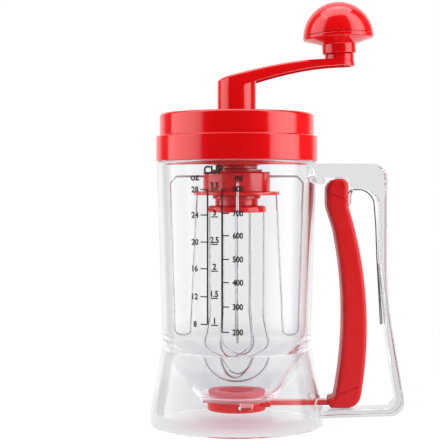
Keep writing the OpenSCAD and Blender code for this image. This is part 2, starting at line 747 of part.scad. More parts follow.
// Notch in the lever's foot that the gate rod enters
module rod_notch() {
    notch_w = rod_w + 4 * run_fit;
    notch_top = gate_mid_z + gate_t / 2 + 4 * run_fit;
    translate([link.x - foot_back - past, -notch_w / 2, lever_bottom_z - past])
        cube([2 * foot_back + 2 * past, notch_w, notch_top - lever_bottom_z + past]);
}

module lid_cap() color([0.85, 0.07, 0.09]) {
    difference() {
        rotate_extrude() polygon(rounded([
            [0, lid_top_z, 0], [cap_r, lid_top_z, lid_round], [cap_r, cap_z, edge / 2],
            [lid_r, cap_z, edge], [lid_r, lid_z, edge / 2], [lid_in_r, lid_z, 0], [lid_in_r, ledge_z, 0],
            [cap_in_r, ledge_z, 0], [cap_in_r, lid_in_top_z, 0], [0, lid_in_top_z, 0]]));
        cylinder(r = shaft_r + run_fit, h = lid_top_z + past);
    }
    difference() {
        translate([0, 0, gear_top_z + past])
            cylinder(r = shaft_r + run_fit + cover_t, h = lid_in_top_z + edge - gear_top_z - past);
        cylinder(r = shaft_r + run_fit, h = lid_top_z);
    }
    for (a = planet_angles) rotate(a) translate([planet_orbit_r, 0, 0]) difference() {
        translate([0, 0, gear_top_z + seat_gap])
            cylinder(r = axle_post_r, h = lid_in_top_z + edge - gear_top_z - seat_gap, $fn = 48);
        cylinder(r = axle_r + fixed_fit, h = lid_in_top_z, $fn = 48);
    }
    for (a = screw_angles) rotate(a) translate([screw_orbit_r, 0, 0]) difference() {
        translate([0, 0, cover_floor_z + fixed_fit])
            cylinder(r = screw_post_r, h = lid_in_top_z + edge - cover_floor_z - fixed_fit, $fn = 48);
        cylinder(r = screw_r + fixed_fit, h = cover_z + screw_len + edge, $fn = 48);
    }
}

module lid_seal() color([0.93, 0.93, 0.92])
    translate([0, 0, seal_z]) difference() {
        cylinder(r = lid_in_r - fixed_fit, h = seal_t - fixed_fit);
        translate([0, 0, -past]) cylinder(r = cap_in_r + fixed_fit, h = seal_t + 2 * past);
    }

module gearbox_cover() color([0.8, 0.06, 0.09])
    difference() {
        rotate_extrude() polygon([
            [tube_r + run_fit, boss_low_z], [cover_boss_r, boss_low_z], [cover_boss_r, cover_z - edge],
            [cover_boss_r + cover_cone_w, cover_z], [cover_r - edge, cover_z], [cover_r, cover_z + edge],
            [cover_r, cover_top_z], [cover_r - cover_wall, cover_top_z], [cover_r - cover_wall, cover_floor_z],
            [tube_r + run_fit, cover_floor_z]]);
        for (a = screw_angles) rotate(a) translate([screw_orbit_r, 0, 0]) {
            cylinder(r = screw_r + run_fit, h = cover_floor_z + past, $fn = 48);
            cylinder(r = screw_head_r + run_fit, h = cover_z + screw_head_t, $fn = 48);
        }
    }

module cover_screws() color([0.75, 0.76, 0.78])
    for (a = screw_angles) rotate(a) translate([screw_orbit_r, 0, cover_z + fixed_fit]) difference() {
        union() {
            cylinder(r = screw_head_r, h = screw_head_t - 2 * fixed_fit, $fn = 32);
            cylinder(r = screw_r, h = screw_len, $fn = 32);
        }
        screw_cross(screw_head_r);
    }

// Cross recess in the underside of a screw head
module screw_cross(head_r)
    for (t = [0, 90]) rotate(t)
        cube([head_r * 1.15, cross_w, screw_head_t], center = true);

module planet_axles() color([0.75, 0.76, 0.78])
    for (a = planet_angles) rotate(a) translate([planet_orbit_r, 0, gear_z - seat_gap / 2])
        cylinder(r = axle_r, h = lid_in_top_z - gear_z - fixed_fit, $fn = 48);

module sun_gear() color([0.92, 0.9, 0.85])
    translate([0, 0, gear_z]) spur(sun_teeth, shaft_r + fixed_fit);

// Planet number i, its teeth set so that a gap faces the sun
module planet_gear(i) color([0.92, 0.9, 0.85])
    rotate(planet_angles[i - 1]) translate([planet_orbit_r, 0, gear_z]) spur(planet_teeth, axle_r + run_fit);

module ring_gear() color([0.9, 0.88, 0.82]) {
    ring_wall_h = gear_top_z - ring_floor_z;
    difference() {
        translate([0, 0, ring_floor_z]) cylinder(r = ring_gear_r, h = ring_wall_h);
        translate([0, 0, ring_floor_z + ring_gear_t]) linear_extrude(ring_wall_h)
            polygon(gear_points(ring_teeth, ring_pitch_r - tooth_out, ring_root_r, PI * gear_m / 4 + backlash / 2));
        cylinder(r = shaft_r + run_fit, h = gear_top_z);
    }
    difference() {
        translate([0, 0, flange_top_z]) cylinder(r = tube_r, h = ring_floor_z - flange_top_z + edge);
        cylinder(r = shaft_r + run_fit, h = gear_top_z);
    }
}

module outer_whisk_hub() color([0.83, 0.08, 0.1])
    difference() {
        rotate_extrude() polygon([
            [tube_r + fixed_fit, hub_top_z], [hub_collar_r, hub_top_z], [hub_collar_r, hub_shell_z],
            [hub_r - edge, hub_shell_z], [hub_r, hub_shell_z - edge], [hub_r, flange_top_z],
            [flange_r - edge / 2, flange_top_z], [flange_r, flange_top_z - edge / 2],
            [flange_r, flange_z + edge / 2], [flange_r - edge / 2, flange_z],
            [hub_r - hub_wall, flange_z], [hub_r - hub_wall, hub_shell_z - hub_top_t],
            [tube_shell_r, hub_shell_z - hub_top_t], [tube_shell_r, flange_top_z],
            [tube_r + fixed_fit, flange_top_z]]);
        for (a = [0 : 90 : 270]) rotate(a) {
            translate([0, 0, loop_z]) rotate([0, 90, 0]) translate([0, 0, hub_r - wire_socket])
                cylinder(r = wire_r + fixed_fit, h = wire_socket + past, $fn = 24);
            translate([outer_leg_r, 0, flange_z - past])
                cylinder(r = wire_r + 2 * fixed_fit, h = past + flange_t - edge, $fn = 24);
        }
    }

// Outer loop number i: a paddle of bent wire in a plane through the axis
module outer_loop(i) color([0.7, 0.71, 0.73]) {
    turn_r = outer_loop_w / 2 - run_fit;
    path = bent([
        [hub_r - wire_socket + edge / 2, loop_z, 0],
        [outer_reach - loop_corner, loop_z, wire_bend_r],
        [outer_reach, loop_z - loop_corner, wire_bend_r],
        [outer_reach_low, outer_bottom_z, turn_r],
        [outer_reach_low - outer_loop_w, outer_bottom_z, turn_r],
        [outer_leg_r, flange_z, 12 * wire_bend_r],
        [outer_leg_r, flange_z + flange_t - edge - fixed_fit, 0]]);
    rotate(90 * (i - 1)) wire([for (p = path) [p.x, 0, p.y]], wire_r);
}

module drive_shaft() color([0.75, 0.76, 0.78])
    difference() {
        translate([0, 0, inner_neck_z]) cylinder(r = shaft_r, h = shaft_top_z - inner_neck_z);
        cylinder(r = screw_r + fixed_fit, h = inner_disc_z + screw_len + 2 * edge, $fn = 48);
    }

module inner_whisk_hub() color([0.84, 0.07, 0.09])
    difference() {
        rotate_extrude() polygon([
            [screw_r + fixed_fit, inner_disc_z + hub_screw_t], [hub_screw_r + run_fit, inner_disc_z + hub_screw_t],
            [hub_screw_r + run_fit, inner_disc_z], [inner_disc_r, inner_disc_z],
            [inner_disc_r, inner_neck_z - edge], [inner_disc_r - 2 * edge, inner_neck_z],
            [inner_neck_r, inner_neck_z], [inner_neck_r, inner_top_z - inner_step_h],
            [inner_step_r, inner_top_z - inner_step_h], [inner_step_r, inner_top_z],
            [shaft_r + fixed_fit, inner_top_z], [shaft_r + fixed_fit, inner_neck_z - fixed_fit],
            [screw_r + fixed_fit, inner_neck_z - fixed_fit]]);
        for (a = [0 : 60 : 300]) rotate(a) translate([inner_leg_r, 0, inner_disc_z - past])
            cylinder(r = wire_r + 2 * fixed_fit, h = past + wire_socket, $fn = 24);
    }

module hub_screw() color([0.75, 0.76, 0.78])
    translate([0, 0, inner_disc_z + edge / 2]) difference() {
        union() {
            cylinder(r = hub_screw_r, h = hub_screw_t - edge / 2 - fixed_fit, $fn = 32);
            cylinder(r = screw_r, h = screw_len, $fn = 32);
        }
        screw_cross(hub_screw_r);
    }

// Inner loop number i: a balloon of bent wire across the axis
module inner_loop(i) color([0.7, 0.71, 0.73]) {
    centre_z = inner_bottom_z + (i - 1) * loop_step + inner_bulge_r;
    turn = 8;              // degrees from one point of the round bottom to the next
    side = bent([
        [inner_leg_r, inner_disc_z + wire_socket - fixed_fit, 0],
        [inner_knee_r, centre_z + inner_bulge_r, 10 * wire_bend_r],
        [inner_bulge_r + run_fit, centre_z + wire_bend_r, 5 * wire_bend_r],
        [inner_bulge_r * cos(turn), centre_z - inner_bulge_r * sin(turn), 0]]);
    bottom = [for (a = [-2 * turn : -turn : 2 * turn - 180]) inner_bulge_r * [cos(a), sin(a)] + [0, centre_z]];
    far = [for (k = [len(side) - 1 : -1 : 0]) [-side[k].x, side[k].y]];
    rotate(60 * (i - 1)) wire([for (p = concat(side, bottom, far)) [p.x, 0, p.y]], wire_r);
}

// Plan of the arm: the boss, the round end and the taper between them
module arm_plan(inset) {
    circle(boss_r - inset);
    translate([crank_len, 0]) circle(arm_end_r - inset);
    polygon([
        [0, inset - boss_r], [crank_len, inset - arm_end_r],
        [crank_len, arm_end_r - inset], [0, boss_r - inset]]);
}

// Point of the arm's top at share s of its length, lowered by drop: a curve that levels off at the knob
function arm_top(s, drop) =
    [-boss_r + edge + s * (crank_len + boss_r), arm_top_low - drop + arm_rise * (1 - (1 - s) * (1 - s))];

// Side view of the arm, its top lowered by drop
function arm_side(drop, under) = concat(
    [[-boss_r - past, arm_top_low - drop - past / 2]],
    [for (k = [0 : arm_steps]) arm_top(k / arm_steps, drop)],
    [[crank_len + 2 * arm_end_r, arm_top_high - drop], [crank_len + 2 * arm_end_r, arm_top_high - under]],
    [for (k = [arm_steps : -1 : 0])
        arm_top(k / arm_steps, under + (1 - k / arm_steps) * (arm_root_t - arm_end_t))],
    [[-boss_r - past, arm_top_low - under - arm_root_t]]);

module crank_arm() color([0.85, 0.07, 0.09])
    difference() {
        union() {
            difference() {
                intersection() {
                    linear_extrude(2 * arm_top_high) arm_plan(0);
                    side_plate(arm_side(0, arm_end_t), 4 * boss_r);
                }
                intersection() {
                    linear_extrude(2 * arm_top_high) arm_plan(arm_wall);
                    side_plate(arm_side(arm_wall, 3 * arm_end_t), 4 * boss_r);
                }
            }
            intersection() {
                translate([0, 0, boss_z]) cylinder(r = boss_r, h = 2 * boss_h);
                side_plate([
                    [-2 * boss_r, 0], [2 * boss_r, 0], [2 * boss_r, arm_top_low + arm_rise],
                    for (k = [arm_steps / 2 - 1 : -1 : 0]) arm_top(k / arm_steps, edge),
                    [-2 * boss_r, arm_top_low - edge]], 4 * boss_r);
            }
            knob_place() translate([0, 0, -post_h - arm_end_t + edge / 2])
                cylinder(r = post_r, h = post_h + arm_end_t - edge / 2);
        }
        cylinder(r = shaft_r + fixed_fit, h = shaft_top_z + fixed_fit);
        knob_place() translate([0, 0, -post_h - arm_end_t - past])
            cylinder(r = knob_axle_r + fixed_fit, h = post_h + arm_end_t + 2 * past);
    }

// The knob's own frame: on the post's top, leaning towards the shaft
module knob_place() {
    translate([crank_len, 0, post_top_z]) rotate([0, -knob_lean, 0]) children();
}

module knob_axle() color([0.75, 0.76, 0.78])
    knob_place() {
        translate([0, 0, -post_h - arm_end_t + edge])
            cylinder(r = knob_axle_r, h = post_h + arm_end_t + knob_rim_h + 2 * axle_head_out);
        translate([0, 0, knob_rim_h + axle_head_out])
            cylinder(r = knob_axle_r + axle_head_out, h = axle_head_out + edge);
    }

module knob_base() color([0.85, 0.07, 0.09])
    knob_place() rotate_extrude() polygon([
        [knob_axle_r + run_fit, knob_foot_h], [collar_r - edge, knob_foot_h], [collar_r, knob_foot_h + edge],
        [collar_r, knob_foot_h + collar_h], [knob_r - edge, knob_edge_h], [knob_r, knob_edge_h + edge],
        [knob_r, knob_rim_h - edge / 2], [knob_r - edge / 2, knob_rim_h], [knob_axle_r + run_fit, knob_rim_h]]);

module knob_dome() color([0.86, 0.08, 0.1])
    knob_place() difference() {
        translate([0, 0, knob_rim_h + fixed_fit]) intersection() {
            translate([0, 0, -2 * edge]) sphere(r = knob_r - edge / 4);
            cylinder(r = 2 * knob_r, h = 2 * knob_r);
        }
        cylinder(r = knob_axle_r + axle_head_out + run_fit, h = knob_rim_h + 3 * axle_head_out);
    }

jug_body();
handle_frame();
lever_pivot_pin();
valve_washer();
gate_ring();
lever_spring();
lid_cap();
gearbox_cover();
lid_seal();
cover_screws();
planet_axles();
crank_arm();
drive_shaft();
sun_gear();
inner_whisk_hub();
hub_screw();
inner_loop(1);  // inner_loop_1
inner_loop(2);  // inner_loop_2
inner_loop(3);  // inner_loop_3
knob_axle();
knob_base();
knob_dome();
ring_gear();
outer_whisk_hub();
outer_loop(1);  // outer_loop_1
outer_loop(2);  // outer_loop_2
outer_loop(3);  // outer_loop_3
outer_loop(4);  // outer_loop_4
planet_gear(1);  // planet_gear_1
planet_gear(2);  // planet_gear_2
planet_gear(3);  // planet_gear_3
lever_shell();
gate_slide();
link_pin();
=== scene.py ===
"""Visual model of a hand-cranked batter jug.

A clear jug stands on a flared skirt and carries a loop handle. A red two-step lid holds a
crank, a gear train and two wire whisks that turn against each other. A red lever in the
handle pulls a sliding gate that opens the outlet under the jug.

Lengths are in millimetres and become metres where a mesh is made. Z is up, the origin is
the middle of the foot and +X points to the handle, as in the CAD frame.
"""
import logging
import math
from dataclasses import dataclass
from enum import Enum
from typing import Any, Sequence

import bmesh
import bpy
import numpy as np
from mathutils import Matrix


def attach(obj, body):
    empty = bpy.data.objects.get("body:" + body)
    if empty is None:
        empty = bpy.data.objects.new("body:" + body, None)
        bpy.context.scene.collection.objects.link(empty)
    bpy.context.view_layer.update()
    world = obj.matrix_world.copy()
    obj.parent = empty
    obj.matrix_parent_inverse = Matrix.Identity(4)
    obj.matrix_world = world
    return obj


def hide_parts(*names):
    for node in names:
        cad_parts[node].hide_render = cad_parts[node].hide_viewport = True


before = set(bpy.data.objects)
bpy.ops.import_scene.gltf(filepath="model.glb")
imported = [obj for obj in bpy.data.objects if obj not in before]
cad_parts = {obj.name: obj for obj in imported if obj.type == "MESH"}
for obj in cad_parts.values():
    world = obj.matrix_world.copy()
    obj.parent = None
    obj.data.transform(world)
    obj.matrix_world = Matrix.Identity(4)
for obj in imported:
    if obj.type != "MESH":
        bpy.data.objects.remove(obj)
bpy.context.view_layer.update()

LOG = logging.getLogger("batter_jug")
MM = 0.001

# How finely curves are cut: steps round a turned form, in a rounded corner, in a softened
# edge, round a wire, in a wire's bend and in a turn of a coil.
TURN_STEPS = 144
CORNER_STEPS = 7
EDGE_STEPS = 5
WIRE_SIDES = 14
WIRE_BEND_STEPS = 12
COIL_STEPS = 36

# Points closer than this are one point, in millimetres.
MERGE = 0.002
# Edges that turn by more than this stay crisp, in degrees.
CRISP = 34.0
# A round end keeps this much less than half its width, so that its sides don't vanish.
ALMOST = 0.01
WHITE = (1.0, 1.0, 1.0, 1.0)


# ---------------------------------------------------------------------------------------
# Outlines and surfaces
# ---------------------------------------------------------------------------------------

def unit(vectors: np.ndarray) -> np.ndarray:
    """Vectors scaled to length one along their last axis."""
    return vectors / np.linalg.norm(vectors, axis=-1, keepdims=True)


def left_of(vectors: np.ndarray) -> np.ndarray:
    """Plane vectors turned a quarter to the left: (x, y) becomes (-y, x)."""
    return np.stack([-vectors[..., 1], vectors[..., 0]], -1)


def arcs(here: np.ndarray, before: np.ndarray, after: np.ndarray, radius: np.ndarray,
         steps: int) -> np.ndarray:
    """Arc that rounds each corner.

    The arc starts r * tan(turn / 2) before the corner, its centre lies r to the side that
    the path turns to, and its points are the start turned about that centre in equal steps.

    Args:
        here: Corner points (n, 2).
        before: Unit direction of the side that arrives at each corner.
        after: Unit direction of the side that leaves it.
        radius: Radius at each corner.
        steps: Straight pieces in each arc.

    Returns:
        Points (n, steps + 1, 2).
    """
    cross = before[:, 0] * after[:, 1] - before[:, 1] * after[:, 0]
    turn = np.arctan2(cross, (before * after).sum(1))
    start = here - before * (radius * np.tan(np.abs(turn) / 2))[:, None]
    centre = start + left_of(before) * (np.sign(turn) * radius)[:, None]
    angle = turn[:, None] * np.linspace(0, 1, steps + 1)
    arm = (start - centre)[:, None, :]
    cosine, sine = np.cos(angle)[..., None], np.sin(angle)[..., None]
    return centre[:, None, :] + arm * cosine + left_of(arm) * sine


def rounded(corners: Sequence[Sequence[float]], inset: float = 0.0,
            steps: int = CORNER_STEPS) -> np.ndarray:
    """Closed outline with rounded corners, moved inwards.

    Every side is shifted along its inward normal and met again with its neighbour. A corner
    that points outwards loses the inset from its radius and one that points inwards gains
    it, so all insets of one outline have equally many points and match up.

    Args:
        corners: Rows of (a, b, radius).
        inset: Distance inwards.
        steps: Straight pieces in each corner.

    Returns:
        Points (n * (steps + 1), 2), in the order of the corners.
    """
    table = np.asarray(corners, float)
    here, radius = table[:, :2], table[:, 2]
    after = unit(np.roll(here, -1, 0) - here)
    before = np.roll(after, 1, 0)
    following = np.roll(here, -1, 0)
    side = np.sign((here[:, 0] * following[:, 1] - here[:, 1] * following[:, 0]).sum())
    normal_in, normal_out = left_of(before) * side, left_of(after) * side
    spread = 1 + (normal_in * normal_out).sum(1, keepdims=True)
    moved = here + inset * (normal_in + normal_out) / spread
    turn = side * (before[:, 0] * after[:, 1] - before[:, 1] * after[:, 0])
    softened = np.where(turn > 0, np.maximum(radius - inset, 0), radius + inset)
    return arcs(moved, before, after, softened, steps).reshape(-1, 2)


def bent(corners: Sequence[Sequence[float]], steps: int = CORNER_STEPS) -> np.ndarray:
    """Open path through corners, rounded at all but its two ends.

    Args:
        corners: Rows of (a, b, radius).
        steps: Straight pieces in each corner.

    Returns:
        Points (n, 2).
    """
    table = np.asarray(corners, float)
    here = table[:, :2]
    run = unit(here[1:] - here[:-1])
    bends = arcs(here[1:-1], run[:-1], run[1:], table[1:-1, 2], steps).reshape(-1, 2)
    return np.vstack([here[:1], bends, here[-1:]])


def bow(start: Sequence[float], end: Sequence[float], rise: float, steps: int = 28
        ) -> list[list[float]]:
    """Corners, without radius, along the arc from start to end that bows to its left.

    A chord c that rises by h in its middle belongs to a circle of radius
    (c * c / 4 + h * h) / (2 * h).

    Args:
        start: First point, left out of the result.
        end: Last point, left out of the result.
        rise: Height of the bow over its chord; a negative one bows to the right.
        steps: Straight pieces in the arc.

    Returns:
        Rows of (a, b, 0).
    """
    a, b = np.asarray(start, float), np.asarray(end, float)
    chord = np.linalg.norm(b - a)
    radius = (chord * chord / 4 + rise * rise) / (2 * rise)
    out = left_of(unit(b - a))
    centre = (a + b) / 2 - out * (radius - rise)
    half = math.asin(chord / 2 / abs(radius)) * np.sign(rise)
    angle = half * (1 - 2 * np.arange(1, steps) / steps)
    spoke = out * radius
    points = centre + spoke * np.cos(angle)[:, None] + left_of(spoke) * np.sin(angle)[:, None]
    return np.column_stack([points, np.zeros(steps - 1)]).tolist()


def turn_about_z(degrees: float) -> np.ndarray:
    """Matrix that turns points about Z."""
    c, s = math.cos(math.radians(degrees)), math.sin(math.radians(degrees))
    return np.array([[c, -s, 0], [s, c, 0], [0, 0, 1]])


def turn_about_y(degrees: float) -> np.ndarray:
    """Matrix that turns points about Y."""
    c, s = math.cos(math.radians(degrees)), math.sin(math.radians(degrees))
    return np.array([[c, 0, s], [0, 1, 0], [-s, 0, c]])


class Join(Enum):
    """How a tool acts on the form it meets."""

    ADD = "UNION"
    CUT = "DIFFERENCE"
    KEEP = "INTERSECT"


class Plane(Enum):
    """The plane that a plate's outline is drawn in."""

    SIDE = "XZ"
    PLAN = "XY"


@dataclass
class Form:
    """A closed surface in millimetres: points (n, 3) and faces as rows of point numbers."""

    points: np.ndarray
    faces: list[list[int]]

    @classmethod
    def from_rings(cls, rings: np.ndarray, wrap: bool = False, capped: bool = False) -> "Form":
        """Surface over a grid of closed rings.

        Point j of ring i joins point j + 1 of the same ring and point j of ring i + 1.

        Args:
            rings: Points (rings, points in a ring, 3).
            wrap: The last ring joins the first.
            capped: One face closes each end ring.

        Returns:
            The form.
        """
        count, size = rings.shape[:2]
        i = np.arange(count if wrap else count - 1)[:, None]
        j = np.arange(size)[None, :]
        up, on = (i + 1) % count, (j + 1) % size
        corners = np.broadcast_arrays(i * size + j, i * size + on, up * size + on, up * size + j)
        faces = np.stack(corners, -1).reshape(-1, 4).tolist()
        if capped:
            faces.append(list(range(size))[::-1])
            faces.append(list(range((count - 1) * size, count * size)))
        return cls(rings.reshape(-1, 3), faces)

    @classmethod
    def from_mesh(cls, mesh: bpy.types.Mesh) -> "Form":
        """Form with the points and faces of a mesh."""
        points = np.empty(len(mesh.vertices) * 3)
        mesh.vertices.foreach_get("co", points)
        return cls(points.reshape(-1, 3), [list(p.vertices) for p in mesh.polygons])

    def placed(self, matrix: np.ndarray | None = None, shift: Sequence[float] = (0, 0, 0)) -> "Form":
        """The form turned by a matrix and then shifted."""
        points = self.points if matrix is None else self.points @ matrix.T
        return Form(points + np.asarray(shift, float), self.faces)

    def with_form(self, other: "Form") -> "Form":
        """Both forms side by side in one."""
        step = len(self.points)
        faces = self.faces + [[n + step for n in face] for face in other.faces]
        return Form(np.vstack([self.points, other.points]), faces)

    def to_mesh(self, name: str, scale: float = 1.0) -> bpy.types.Mesh:
        """Mesh with its doubles merged and its faces outwards, scaled at the end.

        Args:
            name: Name of the mesh.
            scale: Factor on every length.

        Returns:
            The mesh.
        """
        mesh = bpy.data.meshes.new(name)
        mesh.from_pydata(self.points.tolist(), [], self.faces)
        work = bmesh.new()
        work.from_mesh(mesh)
        bmesh.ops.remove_doubles(work, verts=work.verts, dist=MERGE)
        bmesh.ops.recalc_face_normals(work, faces=work.faces)
        bmesh.ops.scale(work, vec=(scale,) * 3, verts=work.verts)
        work.to_mesh(mesh)
        work.free()
        return mesh

    def combined(self, how: Join, *tools: "Form") -> "Form":
        """The form after each tool in turn is added, cut away or kept to.

        Args:
            how: What each tool does.
            tools: Closed forms, used in their order.

        Returns:
            The new form.
        """
        made = [bpy.data.objects.new("work", f.to_mesh("work")) for f in (self, *tools)]
        for item in made:
            bpy.context.scene.collection.objects.link(item)
        for tool in made[1:]:
            step = made[0].modifiers.new("step", "BOOLEAN")
            step.operation = how.value
            step.solver = "EXACT"
            step.object = tool
        graph = bpy.context.evaluated_depsgraph_get()
        result = bpy.data.meshes.new_from_object(made[0].evaluated_get(graph))
        form = Form.from_mesh(result)
        for mesh in [item.data for item in made] + [result]:
            bpy.data.meshes.remove(mesh)
        return form

    def plus(self, *tools: "Form") -> "Form":
        """The form with the tools added."""
        return self.combined(Join.ADD, *tools)

    def minus(self, *tools: "Form") -> "Form":
        """The form with the tools cut away."""
        return self.combined(Join.CUT, *tools)

    def within(self, tool: "Form") -> "Form":
        """The part of the form inside the tool."""
        return self.combined(Join.KEEP, tool)


def revolved(outline: np.ndarray, steps: int = TURN_STEPS) -> Form:
    """Closed outline of (radius, height) turned about Z.

    Point (i, j) is (r_i * cos a_j, r_i * sin a_j, z_i).

    Args:
        outline: Closed outline (n, 2).
        steps: Flat pieces in a full turn.

    Returns:
        The turned form.
    """
    angle = np.arange(steps) * (2 * np.pi / steps)
    radius, height = outline[:, :1], outline[:, 1:]
    rings = np.stack([radius * np.cos(angle), radius * np.sin(angle),
                      np.broadcast_to(height, (len(outline), steps))], -1)
    return Form.from_rings(rings, wrap=True)


def turned(corners: Sequence[Sequence[float]], steps: int = TURN_STEPS,
           corner_steps: int = CORNER_STEPS) -> Form:
    """Outline of corners (radius, height, rounding) turned about Z."""
    return revolved(rounded(corners, steps=corner_steps), steps)


def drum(radius: float, low: float, high: float, steps: int = 64) -> Form:
    """Plain round bar about Z, used to bore holes and to build posts."""
    return turned([[0, low, 0], [radius, low, 0], [radius, high, 0], [0, high, 0]], steps, 1)


def cross_bar(at: Sequence[float], radius: float, length: float, steps: int = 40) -> Form:
    """Plain round bar along Y through the point (x, z)."""
    lying = np.array([[1, 0, 0], [0, 0, 1], [0, -1, 0]], float)
    return drum(radius, -length / 2, length / 2, steps).placed(lying, (at[0], 0, at[1]))


def plate(corners: Sequence[Sequence[float]], low: float, high: float, soft: float,
          plane: Plane = Plane.SIDE, corner_steps: int = CORNER_STEPS) -> Form:
    """Plate whose outline is carried across its thickness, with soft edges.

    Ring t of a soft edge has the outline moved in by soft * (1 - sin t) and lies
    soft * (1 - cos t) from the face. One more ring, a quarter of soft further in on each
    face, keeps it flat.

    Args:
        corners: Outline corners (a, b, rounding).
        low: Place of one face across the plane.
        high: Place of the other face.
        soft: Radius of the softened edges.
        plane: Plane of the outline.
        corner_steps: Straight pieces in each corner.

    Returns:
        The plate.
    """
    t = np.linspace(0, np.pi / 2, EDGE_STEPS + 1)
    moves = np.concatenate([[soft * 1.25], soft * (1 - np.sin(t))])
    depth = np.concatenate([[0], soft * (1 - np.cos(t))])
    moves = np.concatenate([moves, moves[::-1]])
    places = np.concatenate([low + depth, (high - depth)[::-1]])
    outlines = np.stack([rounded(corners, move, corner_steps) for move in moves])
    across = np.broadcast_to(places[:, None], outlines.shape[:2])
    first, second = outlines[..., 0], outlines[..., 1]
    rings = np.stack([first, across, second] if plane is Plane.SIDE else [first, second, across], -1)
    return Form.from_rings(rings, capped=True)


def tube(path: np.ndarray, radius: float, across: Sequence[float], sides: int = WIRE_SIDES) -> Form:
    """Round wire along a path.

    Ring i lies round point i in the plane of two directions at right angles to the path:
    the part of the given direction that is square to the tangent, and its cross product
    with the tangent. The ends are closed by a ring of no radius.

    Args:
        path: Points (n, 3).
        radius: Radius of the wire.
        across: Direction that is never along the path.
        sides: Flat pieces round the wire.

    Returns:
        The wire.
    """
    tangent = unit(np.gradient(path, axis=0))
    guide = np.asarray(across, float)
    one = unit(guide - tangent * (tangent @ guide)[:, None])
    two = np.cross(tangent, one)
    angle = np.arange(sides) * (2 * np.pi / sides)
    spokes = one[:, None, :] * np.cos(angle)[:, None] + two[:, None, :] * np.sin(angle)[:, None]
    rings = path[:, None, :] + spokes * radius
    ends = np.broadcast_to(path[[0, -1]][:, None, :], (2, sides, 3))
    return Form.from_rings(np.concatenate([ends[:1], rings, ends[1:]]))


def around(form: Form, radius: float, angles: Sequence[float]) -> list[Form]:
    """Copies of a form, each moved out along X by the radius and turned about Z to an angle."""
    return [form.placed(shift=(radius, 0, 0)).placed(turn_about_z(angle)) for angle in angles]


# ---------------------------------------------------------------------------------------
# Finishes
# ---------------------------------------------------------------------------------------

def to_linear(colour: str) -> tuple[float, float, float, float]:
    """Linear colour of an sRGB hex value such as "#d2080c"."""
    channel = np.array([int(colour[i:i + 2], 16) for i in (1, 3, 5)]) / 255
    linear = np.where(channel <= 0.04045, channel / 12.92, ((channel + 0.055) / 1.055) ** 2.4)
    return (*(float(v) for v in linear), 1.0)


def add_node(tree: bpy.types.NodeTree, kind: str, settings: dict[str, Any] | None = None,
             inputs: dict[Any, Any] | None = None) -> bpy.types.Node:
    """Adds a node with its settings and links.

    Args:
        tree: Node tree that gets the node.
        kind: Blender's name of the node type.
        settings: Properties to set.
        inputs: For an input's name or number, a value or the socket that feeds it.

    Returns:
        The node.
    """
    node = tree.nodes.new(kind)
    for key, value in (settings or {}).items():
        setattr(node, key, value)
    for key, value in (inputs or {}).items():
        if isinstance(value, bpy.types.NodeSocket):
            tree.links.new(value, node.inputs[key])
        else:
            node.inputs[key].default_value = value
    return node


@dataclass(frozen=True)
class Pattern:
    """Noise on Object coordinates: the width of its spots, its detail and its stretch.

    A stretch of 0.1 along an axis makes the spots ten times as long that way.
    """

    size_mm: float
    detail: float = 2.0
    stretch: tuple[float, float, float] = (1.0, 1.0, 1.0)

    def build(self, tree: bpy.types.NodeTree) -> bpy.types.NodeSocket:
        """Noise whose scale is one over the size of its spots in metres.

        Args:
            tree: Node tree that gets the nodes.

        Returns:
            The noise's value.
        """
        place = add_node(tree, "ShaderNodeTexCoord").outputs["Object"]
        scaled = add_node(tree, "ShaderNodeMapping", None, {"Vector": place, "Scale": self.stretch})
        return add_node(tree, "ShaderNodeTexNoise", None, {
            "Vector": scaled.outputs["Vector"], "Scale": 1 / (self.size_mm * MM),
            "Detail": self.detail}).outputs["Fac"]


# The range that a noise's values usually keep to.
NOISE_LOW = 0.3
NOISE_HIGH = 0.7


